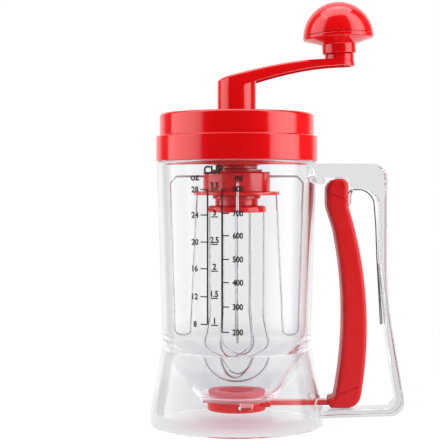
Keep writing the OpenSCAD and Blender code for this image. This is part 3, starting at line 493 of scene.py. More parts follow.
@dataclass(frozen=True)
class Finish:
    """What all finishes share: a name, colours, a range of roughness and three patterns.

    The mottle mixes two colours (an even finish has one), the wear moves the roughness
    through its range, and the grain is the relief, grain_depth_mm deep.
    """

    name: str = "finish"
    colours: tuple[str, ...] = ("#808080",)
    mottle: Pattern = Pattern(10.0)
    rough: tuple[float, float] = (0.4, 0.5)
    wear: Pattern = Pattern(5.0)
    grain: Pattern | None = None
    grain_depth_mm: float = 0.0

    def material(self) -> bpy.types.Material:
        """The finish's material, made at first use."""
        found = bpy.data.materials.get(self.name)
        if found is None:
            found = bpy.data.materials.new(self.name)
            found.use_nodes = True
            found.node_tree.nodes.clear()
            out = add_node(found.node_tree, "ShaderNodeOutputMaterial")
            found.node_tree.links.new(self.shader(found.node_tree), out.inputs["Surface"])
        return found

    def shader(self, tree: bpy.types.NodeTree) -> bpy.types.NodeSocket:
        """Builds the finish's nodes and returns the shader's output."""
        raise NotImplementedError

    def surface(self, tree: bpy.types.NodeTree, inputs: dict[str, Any]) -> bpy.types.NodeSocket:
        """Principled shader with the finish's colours, roughness and relief.

        Args:
            tree: Node tree that gets the nodes.
            inputs: Further inputs of the shader, as values or sockets.

        Returns:
            The shader's output.
        """
        colour: Any = to_linear(self.colours[0])
        if len(self.colours) == 2:
            colour = add_node(tree, "ShaderNodeMix", {"data_type": "RGBA"}, {
                "Factor": self.mottle.build(tree), "A": colour,
                "B": to_linear(self.colours[1])}).outputs[2]
        rough = add_node(tree, "ShaderNodeMapRange", None, {
            "Value": self.wear.build(tree), "From Min": NOISE_LOW, "From Max": NOISE_HIGH,
            "To Min": self.rough[0], "To Max": self.rough[1]})
        skin = {"Base Color": colour, "Roughness": rough.outputs["Result"], **inputs}
        if self.grain is not None:
            skin["Normal"] = add_node(tree, "ShaderNodeBump", None, {
                "Height": self.grain.build(tree),
                "Distance": self.grain_depth_mm * MM}).outputs["Normal"]
        return add_node(tree, "ShaderNodeBsdfPrincipled", None, skin).outputs["BSDF"]


@dataclass(frozen=True)
class ClearStyrene(Finish):
    """Clear styrene-acrylonitrile from a polished mould: bright, hard and water-clear.

    Its high index gives strong edge lines. The melt's flow leaves the faces very slightly wavy, which
    bends reflections of straight lamps, and handling leaves a faint haze. Rays that have crossed many
    walls get a painted glow, a little more at each wall, and the edge of the thick floor round the
    outlet gets a painted glow of its own, so that its edge looks pale.
    """

    name: str = "clear_styrene"
    colours: tuple[str, ...] = ("#f5f5f6",)
    rough: tuple[float, float] = (0.008, 0.03)
    wear: Pattern = Pattern(14.0, 4.0)
    grain: Pattern | None = Pattern(22.0)
    grain_depth_mm: float = 0.035
    index: float = 1.5
    sheen: str = "#8c8c8c"
    shadow_tint: str = "#f4f4f6"
    # Painted haze glow: the plastic gives off a little light of this colour, more the more walls a ray has
    # crossed.
    painted_haze_glow: str = "#e4e2e6"
    painted_haze_level: float = 0.05
    painted_haze_depths: tuple[float, float] = (4.0, 12.0)
    # Painted glow at the edge of the thick floor round the outlet, seen only behind another wall.
    floor_level: float = 0.15
    painted_floor_glow_reach_mm: tuple[float, float] = (28.6, 31.0)
    painted_floor_glow_z_mm: tuple[float, float] = (12.6, 14.2)

    def shader(self, tree: bpy.types.NodeTree) -> bpy.types.NodeSocket:
        """Glass-like shader that lets the lamps' shadow rays through.

        Args:
            tree: Node tree that gets the nodes.

        Returns:
            The shader's output.
        """
        path = add_node(tree, "ShaderNodeLightPath")
        body = self.surface(tree, {
            "IOR": self.index, "Specular Tint": to_linear(self.sheen), "Transmission Weight": 1.0,
            # The emission is painted glow: the plastic is no lamp.
            "Emission Color": to_linear(self.painted_haze_glow),
            "Emission Strength": self.painted_glow_level(tree, path.outputs["Ray Depth"])})
        open_way = add_node(tree, "ShaderNodeBsdfTransparent", None, {
            "Color": to_linear(self.shadow_tint)})
        return add_node(tree, "ShaderNodeMixShader", None, {
            0: path.outputs["Is Shadow Ray"], 1: body, 2: open_way.outputs["BSDF"]}).outputs["Shader"]

    def painted_glow_level(self, tree: bpy.types.NodeTree, depth: bpy.types.NodeSocket) -> bpy.types.NodeSocket:
        """Level of the painted glow that the plastic gives off, though it is no lamp.

        The painted haze glow grows with the number of faces that the ray has met. To it comes the
        painted glow at the floor, which holds within a distance of the origin and above a height, and
        only behind another wall: painted_haze_glow + floor * near * above * min(depth, 1).

        Args:
            tree: Node tree that gets the nodes.
            depth: Number of faces that the ray has met.

        Returns:
            The level.
        """
        painted_haze_glow = add_node(tree, "ShaderNodeMapRange", None, {
            "Value": depth, "From Min": self.painted_haze_depths[0], "From Max": self.painted_haze_depths[1],
            "To Min": 0.0, "To Max": self.painted_haze_level})
        place = add_node(tree, "ShaderNodeTexCoord").outputs["Object"]
        reach = add_node(tree, "ShaderNodeVectorMath", {"operation": "LENGTH"}, {0: place})
        near = add_node(tree, "ShaderNodeMapRange", None, {
            "Value": reach.outputs["Value"], "From Min": self.painted_floor_glow_reach_mm[0] * MM,
            "From Max": self.painted_floor_glow_reach_mm[1] * MM, "To Min": self.floor_level, "To Max": 0.0})
        height = add_node(tree, "ShaderNodeSeparateXYZ", None, {"Vector": place})
        above = add_node(tree, "ShaderNodeMapRange", None, {
            "Value": height.outputs["Z"], "From Min": self.painted_floor_glow_z_mm[0] * MM,
            "From Max": self.painted_floor_glow_z_mm[1] * MM})
        behind = add_node(tree, "ShaderNodeMath", {"operation": "MINIMUM"}, {0: depth, 1: 1.0})
        floor = add_node(tree, "ShaderNodeMath", {"operation": "MULTIPLY"}, {
            0: near.outputs["Result"], 1: above.outputs["Result"]})
        seen = add_node(tree, "ShaderNodeMath", {"operation": "MULTIPLY"}, {
            0: floor.outputs["Value"], 1: behind.outputs["Value"]})
        return add_node(tree, "ShaderNodeMath", {"operation": "ADD"}, {
            0: painted_haze_glow.outputs["Result"], 1: seen.outputs["Value"]}).outputs["Value"]


@dataclass(frozen=True)
class GlossAbs(Finish):
    """Red ABS from a polished mould: deep even colour under a glossy skin.

    A very shallow orange peel, two millimetres from crest to crest, softens the rims of
    reflected lamps, and the pigment is a touch darker where the melt flowed slower.
    """

    name: str = "gloss_red_abs"
    colours: tuple[str, ...] = ("#d3070c", "#cd060b")
    mottle: Pattern = Pattern(18.0)
    rough: tuple[float, float] = (0.10, 0.15)
    wear: Pattern = Pattern(9.0, 3.0)
    grain: Pattern | None = Pattern(2.0)
    grain_depth_mm: float = 0.004
    index: float = 1.54

    def shader(self, tree: bpy.types.NodeTree) -> bpy.types.NodeSocket:
        """Glossy pigmented plastic."""
        return self.surface(tree, {"IOR": self.index})


@dataclass(frozen=True)
class SparkErodedAbs(Finish):
    """Red ABS from a spark-eroded mould: a satin grip with a fine, even grain.

    The real grain is about 0.15 mm wide. It is drawn at 0.45 mm, so that it shows.
    """

    name: str = "satin_red_abs"
    colours: tuple[str, ...] = ("#c50d11", "#c81216")
    mottle: Pattern = Pattern(12.0, 3.0)
    rough: tuple[float, float] = (0.36, 0.46)
    wear: Pattern = Pattern(7.0, 3.0)
    grain: Pattern | None = Pattern(0.45, 1.0)
    grain_depth_mm: float = 0.012
    index: float = 1.54
    sheen: float = 0.26

    def shader(self, tree: bpy.types.NodeTree) -> bpy.types.NodeSocket:
        """Satin pigmented plastic with a grain."""
        return self.surface(tree, {"IOR": self.index, "Specular IOR Level": self.sheen})


@dataclass(frozen=True)
class Silicone(Finish):
    """Moulded silicone rubber: soft sheen, a little light inside it, and a dusty mottle."""

    name: str = "red_silicone"
    colours: tuple[str, ...] = ("#de5a66", "#d6525e")
    mottle: Pattern = Pattern(3.0, 4.0)
    rough: tuple[float, float] = (0.38, 0.5)
    wear: Pattern = Pattern(2.0)
    grain: Pattern | None = Pattern(0.8)
    grain_depth_mm: float = 0.006
    index: float = 1.41
    light_share: float = 0.25
    light_depth_mm: float = 1.2

    def shader(self, tree: bpy.types.NodeTree) -> bpy.types.NodeSocket:
        """Slightly translucent rubber."""
        return self.surface(tree, {
            "IOR": self.index, "Subsurface Weight": self.light_share,
            "Subsurface Scale": self.light_depth_mm * MM})


@dataclass(frozen=True)
class MouldedNylon(Finish):
    """Unfilled polyamide gears: waxy ivory and half-matt, because light soaks in at the teeth."""

    name: str = "natural_nylon"
    colours: tuple[str, ...] = ("#e9e3d2", "#dfd8c4")
    mottle: Pattern = Pattern(5.0, 3.0)
    rough: tuple[float, float] = (0.35, 0.48)
    wear: Pattern = Pattern(3.0)
    grain: Pattern | None = Pattern(1.2)
    grain_depth_mm: float = 0.006
    index: float = 1.53
    light_share: float = 0.3
    light_depth_mm: float = 1.5

    def shader(self, tree: bpy.types.NodeTree) -> bpy.types.NodeSocket:
        """Waxy translucent plastic."""
        return self.surface(tree, {
            "IOR": self.index, "Subsurface Weight": self.light_share,
            "Subsurface Scale": self.light_depth_mm * MM})


@dataclass(frozen=True)
class DrawnWire(Finish):
    """Stainless wire, drawn and electropolished: bright, with long faint die lines.

    The lines run along the wire, so their pattern is stretched ten to one in height. Real
    ones lie a few hundredths apart; they are drawn at 0.5 mm, so that they show.
    """

    name: str = "drawn_steel_wire"
    colours: tuple[str, ...] = ("#c9c9cc", "#b4b4b8")
    mottle: Pattern = Pattern(6.0)
    rough: tuple[float, float] = (0.08, 0.2)
    wear: Pattern = Pattern(0.5, 2.0, (1.0, 1.0, 0.1))
    grain: Pattern | None = Pattern(0.5, 2.0, (1.0, 1.0, 0.1))
    grain_depth_mm: float = 0.004

    def shader(self, tree: bpy.types.NodeTree) -> bpy.types.NodeSocket:
        """Polished metal with die lines."""
        return self.surface(tree, {"Metallic": 1.0})


@dataclass(frozen=True)
class ZincPlate(Finish):
    """Turned steel with bright zinc: cool grey, fine turning rings, slightly cloudy.

    Turning rings lie about 0.1 mm apart; they are drawn at 0.4 mm, so that they show.
    """

    name: str = "zinc_plated_steel"
    colours: tuple[str, ...] = ("#c4c6c9", "#aeb1b5")
    mottle: Pattern = Pattern(2.5, 3.0)
    rough: tuple[float, float] = (0.2, 0.34)
    wear: Pattern = Pattern(1.5)
    grain: Pattern | None = Pattern(0.4, 2.0, (0.2, 0.2, 3.0))
    grain_depth_mm: float = 0.003

    def shader(self, tree: bpy.types.NodeTree) -> bpy.types.NodeSocket:
        """Plated metal with fine rings."""
        return self.surface(tree, {"Metallic": 1.0})


@dataclass(frozen=True)
class PrintInk(Finish):
    """Screen-printed ink: near black, flat sheen, slightly uneven where the screen left it thin."""

    name: str = "black_print_ink"
    colours: tuple[str, ...] = ("#0d0d0f", "#1b1b1e")
    mottle: Pattern = Pattern(1.0)
    rough: tuple[float, float] = (0.4, 0.55)
    wear: Pattern = Pattern(0.8)

    def shader(self, tree: bpy.types.NodeTree) -> bpy.types.NodeSocket:
        """Dark ink."""
        return self.surface(tree, {})


CLEAR = ClearStyrene()
# The handle's band is up to 19 mm thick, so it takes more of the light.
CLEAR_THICK = ClearStyrene(name="clear_styrene_thick", colours=("#e3e3e5",))
GLOSS = GlossAbs()
SATIN = SparkErodedAbs()
RED_RUBBER = Silicone()
WHITE_RUBBER = Silicone(name="white_silicone", colours=("#eeeeec", "#e4e4e1"))
NYLON = MouldedNylon()
WIRE = DrawnWire()
# Patented spring wire keeps its dark drawing film.
SPRING_WIRE = DrawnWire(name="patented_spring_wire", colours=("#6f6f73", "#5c5c60"))
ZINC = ZincPlate()
INK = PrintInk()


# ---------------------------------------------------------------------------------------
# Pieces
# ---------------------------------------------------------------------------------------

class Slot(Enum):
    """Material slots of the record."""

    CLEAR = "clear_plastic"
    GLOSS = "red_gloss"
    SATIN = "red_satin"
    RED_RUBBER = "red_rubber"
    WHITE_RUBBER = "white_rubber"
    NYLON = "natural_nylon"
    WIRE = "steel_wire"
    STEEL = "steel"


def make_piece(form: Form, name: str, finish: Finish, body: str, nodes: Sequence[str]) -> bpy.types.Object:
    """Turns a form into a piece of the object.

    Args:
        form: The piece's surface, in millimetres.
        name: Name of the piece.
        finish: Its finish.
        body: Body that it rides on.
        nodes: CAD nodes that it stands for.

    Returns:
        The piece, at the origin with its place in its mesh.
    """
    mesh = form.to_mesh(name, MM)
    mesh.shade_smooth()
    mesh.set_sharp_from_angle(angle=math.radians(CRISP))
    mesh.materials.append(finish.material())
    piece = bpy.data.objects.new(name, mesh)
    bpy.context.scene.collection.objects.link(piece)
    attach(piece, body)
    if nodes:
        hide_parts(*nodes)
    LOG.info("%s: %d faces, %s, on %s", name, len(mesh.polygons), finish.name, body)
    return piece


def dress_node(node: str, finish: Finish) -> None:
    """Gives a CAD node that stays its finish."""
    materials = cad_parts[node].data.materials
    materials.clear()
    materials.append(finish.material())
    LOG.info("%s: CAD node, %s", node, finish.name)


@dataclass(frozen=True)
class JugSizes:
    """Heights and radii that the jug shares with what touches it.

    A name in _r is a radius or a distance from the axis, one in _z a height above the foot,
    one in _bend or _soft the radius that rounds a corner of the outline.
    """

    foot_r: float = 54.1
    band_h: float = 8.6
    waist_r: float = 46.4
    waist_z: float = 52.0
    shoulder_r: float = 50.0
    shoulder_z: float = 163.7
    rim_r: float = 48.0
    rim_in: float = 46.1
    rim_z: float = 176.9
    skirt_bend_r: float = 47.2
    skirt_bend_z: float = 46.0
    wall: float = 2.7
    edge: float = 0.8
    floor_z: float = 15.3
    floor_top: float = 18.6
    outlet_r: float = 8.2
    neck_r: float = 22.0
    crotch_r: float = 44.7
    crotch_z: float = 49.0
    funnel_low_r: float = 21.3
    bowl_r: float = 43.23
    bowl_z: float = 52.3
    funnel_top_r: float = 39.29
    funnel_top_z: float = 43.4
    funnel_bow: float = 1.62
    under_bow: float = 1.9
    bow_steps: int = 20
    body_in_top: float = 45.9
    skirt_bend: float = 60.0
    waist_bend: float = 30.0
    bowl_bend: float = 49.0
    floor_bend: float = 4.0
    shoulder_soft: float = 1.9
    edge_soft: float = 0.4
    hook_angles: tuple[float, ...] = (180.0, 75.0, -75.0)

    def outer_r(self, height: np.ndarray | float) -> np.ndarray | float:
        """Outer radius of the body at a height above the waist: a straight line."""
        slope = (self.shoulder_r - self.waist_r) / (self.shoulder_z - self.waist_z)
        return self.waist_r + (height - self.waist_z) * slope


@dataclass
class Jug:
    """The clear jug: body, funnel, flared skirt and the hooks that hold the gate ring."""

    sizes: JugSizes
    slot_half: float = 20.0
    slot_h: float = 6.4
    slot_z: float = 14.3
    hook_w: float = 8.0
    hook_t: float = 1.7
    hook_low: float = 11.7
    hook_in_r: float = 18.8
    hook_out_r: float = 21.2

    def wall_form(self) -> Form:
        """The whole wall in one turned outline, from the outlet round the skirt to the rim."""
        s = self.sizes
        skirt_in = s.foot_r - s.wall
        return turned([
            [s.outlet_r, s.floor_z, 0.5],
            [s.neck_r, s.floor_z, 1.0],
            *bow((s.neck_r, s.floor_z), (s.crotch_r, s.crotch_z), -s.under_bow, s.bow_steps),
            [s.crotch_r, s.crotch_z, 0.7],
            [skirt_in, s.band_h, s.floor_bend],
            [skirt_in, s.edge, s.edge_soft],
            [skirt_in + s.edge, 0, s.edge_soft],
            [s.foot_r - s.edge, 0, s.edge_soft],
            [s.foot_r, s.edge, s.edge_soft],
            [s.foot_r, s.band_h, 3.0],
            [s.skirt_bend_r, s.skirt_bend_z, s.skirt_bend],
            [s.waist_r, s.waist_z, s.waist_bend],
            [s.shoulder_r, s.shoulder_z, s.shoulder_soft],
            [s.rim_r, s.shoulder_z, 0.05],
            [s.rim_r, s.rim_z - s.edge, s.edge_soft],
            [s.rim_r - s.edge, s.rim_z, s.edge_soft],
            [s.rim_in, s.rim_z, s.edge_soft],
            [s.body_in_top, s.shoulder_z, 0],
            [s.bowl_r, s.bowl_z, s.bowl_bend],
            *bow((s.funnel_top_r, s.funnel_top_z), (s.funnel_low_r, s.floor_top), s.funnel_bow,
                 s.bow_steps),
            [s.funnel_low_r, s.floor_top, s.floor_bend],
            [s.outlet_r, s.floor_top, 0.5]])

    def rod_slot(self) -> Form:
        """Round-ended bar that opens the skirt for the gate rod."""
        s = self.sizes
        half, tall = self.slot_half, self.slot_h / 2
        turn = tall - ALMOST
        outline = [[-half, -tall, turn], [half, -tall, turn], [half, tall, turn], [-half, tall, turn]]
        bar = plate(outline, s.waist_r - s.wall, s.foot_r + 4, 0.0)
        upright = np.array([[0, 1, 0], [1, 0, 0], [0, 0, 1]], float)
        return bar.placed(upright, (0, 0, self.slot_z))

    def hook(self) -> Form:
        """Hook under the floor, on the handle's side, that a tab of the gate ring turns into."""
        root = self.sizes.floor_z + self.sizes.edge
        out = self.hook_out_r + self.hook_t
        shelf = self.hook_low + self.hook_t
        outline = [[self.hook_in_r, self.hook_low, 0.3], [out, self.hook_low, 0.5], [out, root, 0],
                   [self.hook_out_r, root, 0], [self.hook_out_r, shelf, 0.3],
                   [self.hook_in_r, shelf, 0.3]]
        return plate(outline, -self.hook_w / 2, self.hook_w / 2, 0.25, corner_steps=3)

    def build(self) -> None:
        """Makes the jug."""
        hooks = around(self.hook(), 0.0, self.sizes.hook_angles)
        body = self.wall_form().minus(self.rod_slot()).plus(*hooks)
        make_piece(body, "jug_clear_body", CLEAR, "jug", ["jug_body"])


@dataclass(frozen=True)
class ScaleColumn:
    """One printed scale: its marks with heights, and where its ticks and figures stand.

    Places across are distances seen from the front, measured from the jug's axis.
    """

    marks: tuple[tuple[str, float], ...]
    tick: tuple[float, float]
    figure_x: float
    figure_rise: float = 0.0


@dataclass
class ScalePrint:
    """Black volume scales printed on the front of the jug: ounces, cups and millilitres."""

    sizes: JugSizes
    figure_h: float = 3.8
    figure_squeeze: float = 0.86
    figure_spread: float = 0.04
    line_w: float = 0.95
    bar_step: float = 1.0
    tick_h: float = 0.7
    ink_t: float = 0.05
    lift: float = 0.03
    oz_line_x: float = -17.7
    ml_line_x: float = -9.2
    ounces: ScaleColumn = ScaleColumn(
        (("28", 146.2), ("24", 131.1), ("20", 115.1), ("16", 99.3), ("12", 82.7), ("8", 66.2)),
        (-21.9, -17.9), -25.2)
    cups: ScaleColumn = ScaleColumn(
        (("3.5", 146.1), ("3", 130.0), ("2.5", 113.8), ("2", 98.0), ("1.5", 81.9), ("1", 65.9)),
        (-15.7, -11.6), -13.6, 2.6)
    millilitres: ScaleColumn = ScaleColumn(
        (("800", 146.4), ("700", 132.1), ("600", 119.0), ("500", 105.0), ("400", 91.3),
         ("300", 76.9), ("200", 61.9)),
        (-9.2, -5.1), 0.1)
    headers: tuple[tuple[str, float, float, float], ...] = (
        ("CUP", -14.3, 157.6, 5.3), ("oz", -25.2, 153.0, 3.3), ("ml", 0.5, 153.0, 4.4))

    def figure(self, text: str, x: float, z: float, height: float) -> Form:
        """Letters as a flat form, whose depth runs from -0.5 to 0.5.

        Args:
            text: What they say.
            x: Place of their middle across.
            z: Place of their middle in height.
            height: Height of the letters.

        Returns:
            The letters.
        """
        curve = bpy.data.curves.new("figure", "FONT")
        curve.body = text
        curve.align_x = "CENTER"
        curve.align_y = "CENTER"
        curve.resolution_u = 3
        curve.offset = self.figure_spread
        curve.extrude = 0.5
        item = bpy.data.objects.new("figure", curve)
        bpy.context.scene.collection.objects.link(item)
        graph = bpy.context.evaluated_depsgraph_get()
        mesh = bpy.data.meshes.new_from_object(item.evaluated_get(graph))
        form = Form.from_mesh(mesh)
        bpy.data.objects.remove(item)
        bpy.data.curves.remove(curve)
        bpy.data.meshes.remove(mesh)
        low, high = form.points.min(0), form.points.max(0)
        flat = form.points - (low + high) / 2
        scale = height / (high[1] - low[1])
        across = flat[:, 0] * scale * self.figure_squeeze + x
        return Form(np.stack([across, flat[:, 2], flat[:, 1] * scale + z], -1), form.faces)

    def bar(self, left: float, right: float, low: float, high: float) -> Form:
        """Flat bar of ink, cut into short pieces so that it can follow the wall.

        Args:
            left: Place of its left end across.
            right: Place of its right end.
            low: Height of its lower edge.
            high: Height of its upper edge.

        Returns:
            The bar.
        """
        pieces = max(1, math.ceil((right - left) / self.bar_step))
        across = np.linspace(left, right, pieces + 1)
        ring = np.array([[-0.5, low], [0.5, low], [0.5, high], [-0.5, high]])
        rings = np.empty((pieces + 1, 4, 3))
        rings[..., 0] = across[:, None]
        rings[..., 1:] = ring
        return Form.from_rings(rings, capped=True)

    def wrapped(self, form: Form) -> Form:
        """The flat print laid on the wall.

        A point at x across and z up goes to the angle whose sine is x / r(z), counted from
        the front, at the radius r(z) + lift + ink_t * (0.5 - depth).

        Args:
            form: Flat print, whose depth runs from -0.5 at its face to 0.5 at its back.

        Returns:
            The print on the wall.
        """
        x, depth, z = form.points.T
        wall = self.sizes.outer_r(z)
        angle = np.arcsin(x / wall)
        radius = wall + self.lift + self.ink_t * (0.5 - depth)
        return Form(np.stack([radius * np.sin(angle), -radius * np.cos(angle), z], -1), form.faces)

    def column(self, scale: ScaleColumn) -> list[Form]:
        """Ticks and figures of one scale.

        Args:
            scale: Its marks and places.

        Returns:
            One flat form for each tick, and then one for each figure.
        """
        half = self.tick_h / 2
        ticks = [self.bar(*scale.tick, z - half, z + half) for _, z in scale.marks]
        rise = scale.figure_rise
        figures = [self.figure(text, scale.figure_x, z + rise, self.figure_h)
                   for text, z in scale.marks]
        return ticks + figures

    def build(self) -> None:
        """Makes the whole print as one piece."""
        half = self.line_w / 2
        top = self.ounces.marks[0][1]
        parts = [self.bar(x - half, x + half, scale.marks[-1][1], top)
                 for x, scale in ((self.oz_line_x, self.ounces), (self.ml_line_x, self.millilitres))]
        for scale in (self.ounces, self.cups, self.millilitres):
            parts += self.column(scale)
        parts += [self.figure(*header) for header in self.headers]
        whole = parts[0]
        for part in parts[1:]:
            whole = whole.with_form(part)
        make_piece(self.wrapped(whole), "jug_scale_print", INK, "jug", [])


@dataclass(frozen=True)
class Pivots:
    """Points that the handle, the lever and the gate share, as (x, z)."""

    pivot: tuple[float, float] = (63.7, 149.5)
    link: tuple[float, float] = (60.4, 13.5)
    pivot_pin_r: float = 1.5
    link_pin_r: float = 1.1


@dataclass
class Handle:
    """The clear loop handle with the lug that carries the lever's pivot."""

    jug: JugSizes
    pivots: Pivots
    width: float = 19.0
    soft: float = 1.0
    fit: float = 0.05
    top_z: float = 162.4
    root_z: float = 149.6
    head_room: tuple[float, float, float] = (54.8, 70.2, 153.7)
    under_z: float = 147.0
    inner_x: float = 88.8
    outer_x: float = 93.2
    corner_r: float = 9.0
    lug_y: tuple[float, float] = (-7.5, 4.56)
    lug_soft: float = 0.4
    mark: tuple[float, float] = (83.1, 157.3)
    mark_r: tuple[float, float] = (1.6, 2.1)
    mark_depth: float = 0.2

    def band_corners(self) -> list[list[float]]:
        """Side view of the band, from the jug round the hand and back."""
        root = self.jug.foot_r - self.jug.wall
        near, far, high = self.head_room
        return [
            [0, self.top_z, 0], [0, self.root_z, 0], [near, self.root_z, 1.6], [near, high, 0.8],
            [far, high, 0.8], [far, self.under_z, 1.6], [self.inner_x, self.under_z, 12],
            [self.inner_x, 104, 60], [93.6, 51, 60], [99.8, 10.5, 6], [root, 8.9, 0], [root, 4.4, 0],
            [105.6, 6.0, self.corner_r], [self.outer_x, 80, 240],
            [self.outer_x, self.top_z, self.corner_r]]

    def lug_corners(self) -> list[list[float]]:
        """Side view of the lug inside the lever's head."""
        return [[60.2, 155.4, 0], [60.2, 146.0, 3.2], [61.95, 135.1, 1.6], [70.9, 135.1, 4],
                [70.9, 142.3, 1.6], [72.6, 148.0, 0], [72.6, 155.4, 0]]

    def jug_room(self) -> Form:
        """The room that the jug's outside takes, with the bonding gap."""
        s, g = self.jug, self.fit
        return turned([
            [0, -4, 0], [s.foot_r + g, -4, 0], [s.foot_r + g, s.band_h, 3.0],
            [s.skirt_bend_r + g, s.skirt_bend_z, 4.0], [s.waist_r + g, s.waist_z, 1.2],
            [s.shoulder_r + g, s.shoulder_z, 0], [s.shoulder_r + g, s.shoulder_z + 4, 0],
            [0, s.shoulder_z + 4, 0]])

    def mould_mark(self) -> Form:
        """Shallow ring that an ejector pin's bush leaves on the front face."""
        inner, outer = self.mark_r
        bush = cross_bar(self.mark, outer, 2 * self.mark_depth).minus(cross_bar(self.mark, inner, 1.0))
        return bush.placed(shift=(0, -self.width / 2, 0))

    def build(self) -> None:
        """Makes the handle."""
        half = self.width / 2
        band = plate(self.band_corners(), -half, half, self.soft)
        lug = plate(self.lug_corners(), *self.lug_y, self.lug_soft)
        bore = cross_bar(self.pivots.pivot, self.pivots.pivot_pin_r + self.fit, 2 * self.width)
        whole = band.plus(lug).minus(self.jug_room(), bore, self.mould_mark())
        make_piece(whole, "handle_clear_frame", CLEAR_THICK, "jug", ["handle_frame"])
        dress_node("lever_pivot_pin", ZINC)


@dataclass
class Lever:
    """The red lever: a bowed channel that is open towards the handle."""

    pivots: Pivots
    half: float = 10.6
    wall: float = 2.1
    room_half: float = 7.9
    room_soft: float = 0.5
    soft: float = 2.6
    blind: float = 0.8
    play: float = 0.2
    dimple_r: float = 2.0
    dimple_depth: float = 0.35
    back_x: float = 55.6
    back_bend: tuple[float, float, float] = (60.0, 122.5, 24.0)
    back_low: tuple[float, float] = (60.6, 17.1)
    back_bow: float = 5.4
    grip_top: tuple[float, float] = (69.0, 136.0)
    grip_low: tuple[float, float] = (77.3, 19.95)
    grip_bow: float = 6.8
    head_z: float = 153.1
    neck_z: float = 136.0
    foot_x: float = 57.1
    foot_z: float = 10.75
    link_slot_h: float = 4.5
    rod_room: tuple[float, float, float] = (67.7, 15.9, 4.4)
    groove_starts: tuple[tuple[float, float, float], ...] = ((57.1, 143.9, -0.4), (60.6, 18.2, 0.4))
    groove_w: float = 0.5
    groove_depth: float = 0.45

    def corners(self) -> list[list[float]]:
        """Side view of the lever, whose back and grip both bow towards the handle."""
        bend_x, bend_z, _ = self.back_bend
        low_x, low_z = self.back_low
        top_x, top_z = self.grip_top
        return [
            [self.back_x, self.head_z, 7], [self.back_x, self.neck_z, 12], list(self.back_bend),
            *bow((bend_x, bend_z), self.back_low, self.back_bow),
            [low_x, low_z, 1.6], [self.foot_x, low_z, 1.6], [self.foot_x, self.foot_z, 2.5],
            [75.7, self.foot_z, 9], [*self.grip_low, 0],
            *bow(self.grip_low, self.grip_top, -self.grip_bow),
            [top_x, top_z, 0], [top_x, self.head_z, 4.5]]

    def channel(self) -> Form:
        """The room inside the lever, a wall's thickness inside its back."""
        w = self.wall
        bend_x, bend_z, bend_r = self.back_bend
        low_x, low_z = self.back_low
        corners = [
            [59.7, 157, 0], [59.7, 150.3, 0], [self.back_x + w, 147.4, 0.8],
            [self.back_x + w, self.neck_z, 12], [bend_x + w, bend_z, bend_r],
            *bow((bend_x + w, bend_z), (low_x + w, low_z), self.back_bow),
            [low_x + w, low_z, 0], [63.9, self.foot_z + w, 1], [100, self.foot_z + w, 0],
            [100, 157, 0]]
        return plate(corners, -self.room_half, self.room_half, self.room_soft)

    def grooves(self) -> list[Form]:
        """Two slanted grooves on each cheek, which mark off the grip."""
        near, far, deep = 50.0, 100.0, self.groove_depth
        bars = []
        for x, z, slope in self.groove_starts:
            low, high = z + slope * (near - x), z + slope * (far - x)
            outline = [[near, low, 0], [far, high, 0], [far, high + self.groove_w, 0],
                       [near, low + self.groove_w, 0]]
            bars += [plate(outline, side - deep, side + deep, 0.0) for side in (-self.half, self.half)]
        return bars

    def link_slot(self, reach: float) -> Form:
        """Upright slot for the link pin, closed at each cheek's skin.

        Args:
            reach: How far it goes into each cheek, from the lever's middle.

        Returns:
            The slot, as a tool.
        """
        x, z = self.pivots.link
        radius, tall = self.pivots.link_pin_r + self.play, self.link_slot_h / 2
        turn = radius - ALMOST
        return plate([[x - radius, z - tall, turn], [x + radius, z - tall, turn],
                      [x + radius, z + tall, turn], [x - radius, z + tall, turn]], -reach, reach, 0.0)

    def build(self) -> None:
        """Makes the lever."""
        far, high, room = self.rod_room
        notch = plate([[50, 5, 0], [far, 5, 0], [far, high, 0.6], [50, high, 0.6]], -room, room, 0.0)
        reach = self.half - self.blind
        bore = cross_bar(self.pivots.pivot, self.pivots.pivot_pin_r + self.play, 2 * reach)
        dimples = [cross_bar(self.pivots.pivot, self.dimple_r, 2 * self.dimple_depth)
                   .placed(shift=(0, side, 0)) for side in (-self.half, self.half)]
        body = plate(self.corners(), -self.half, self.half, self.soft)
        whole = body.minus(self.channel(), notch, self.link_slot(reach), bore, *dimples,
                           *self.grooves())
        make_piece(whole, "lever_grip", SATIN, "lever", ["lever_shell"])


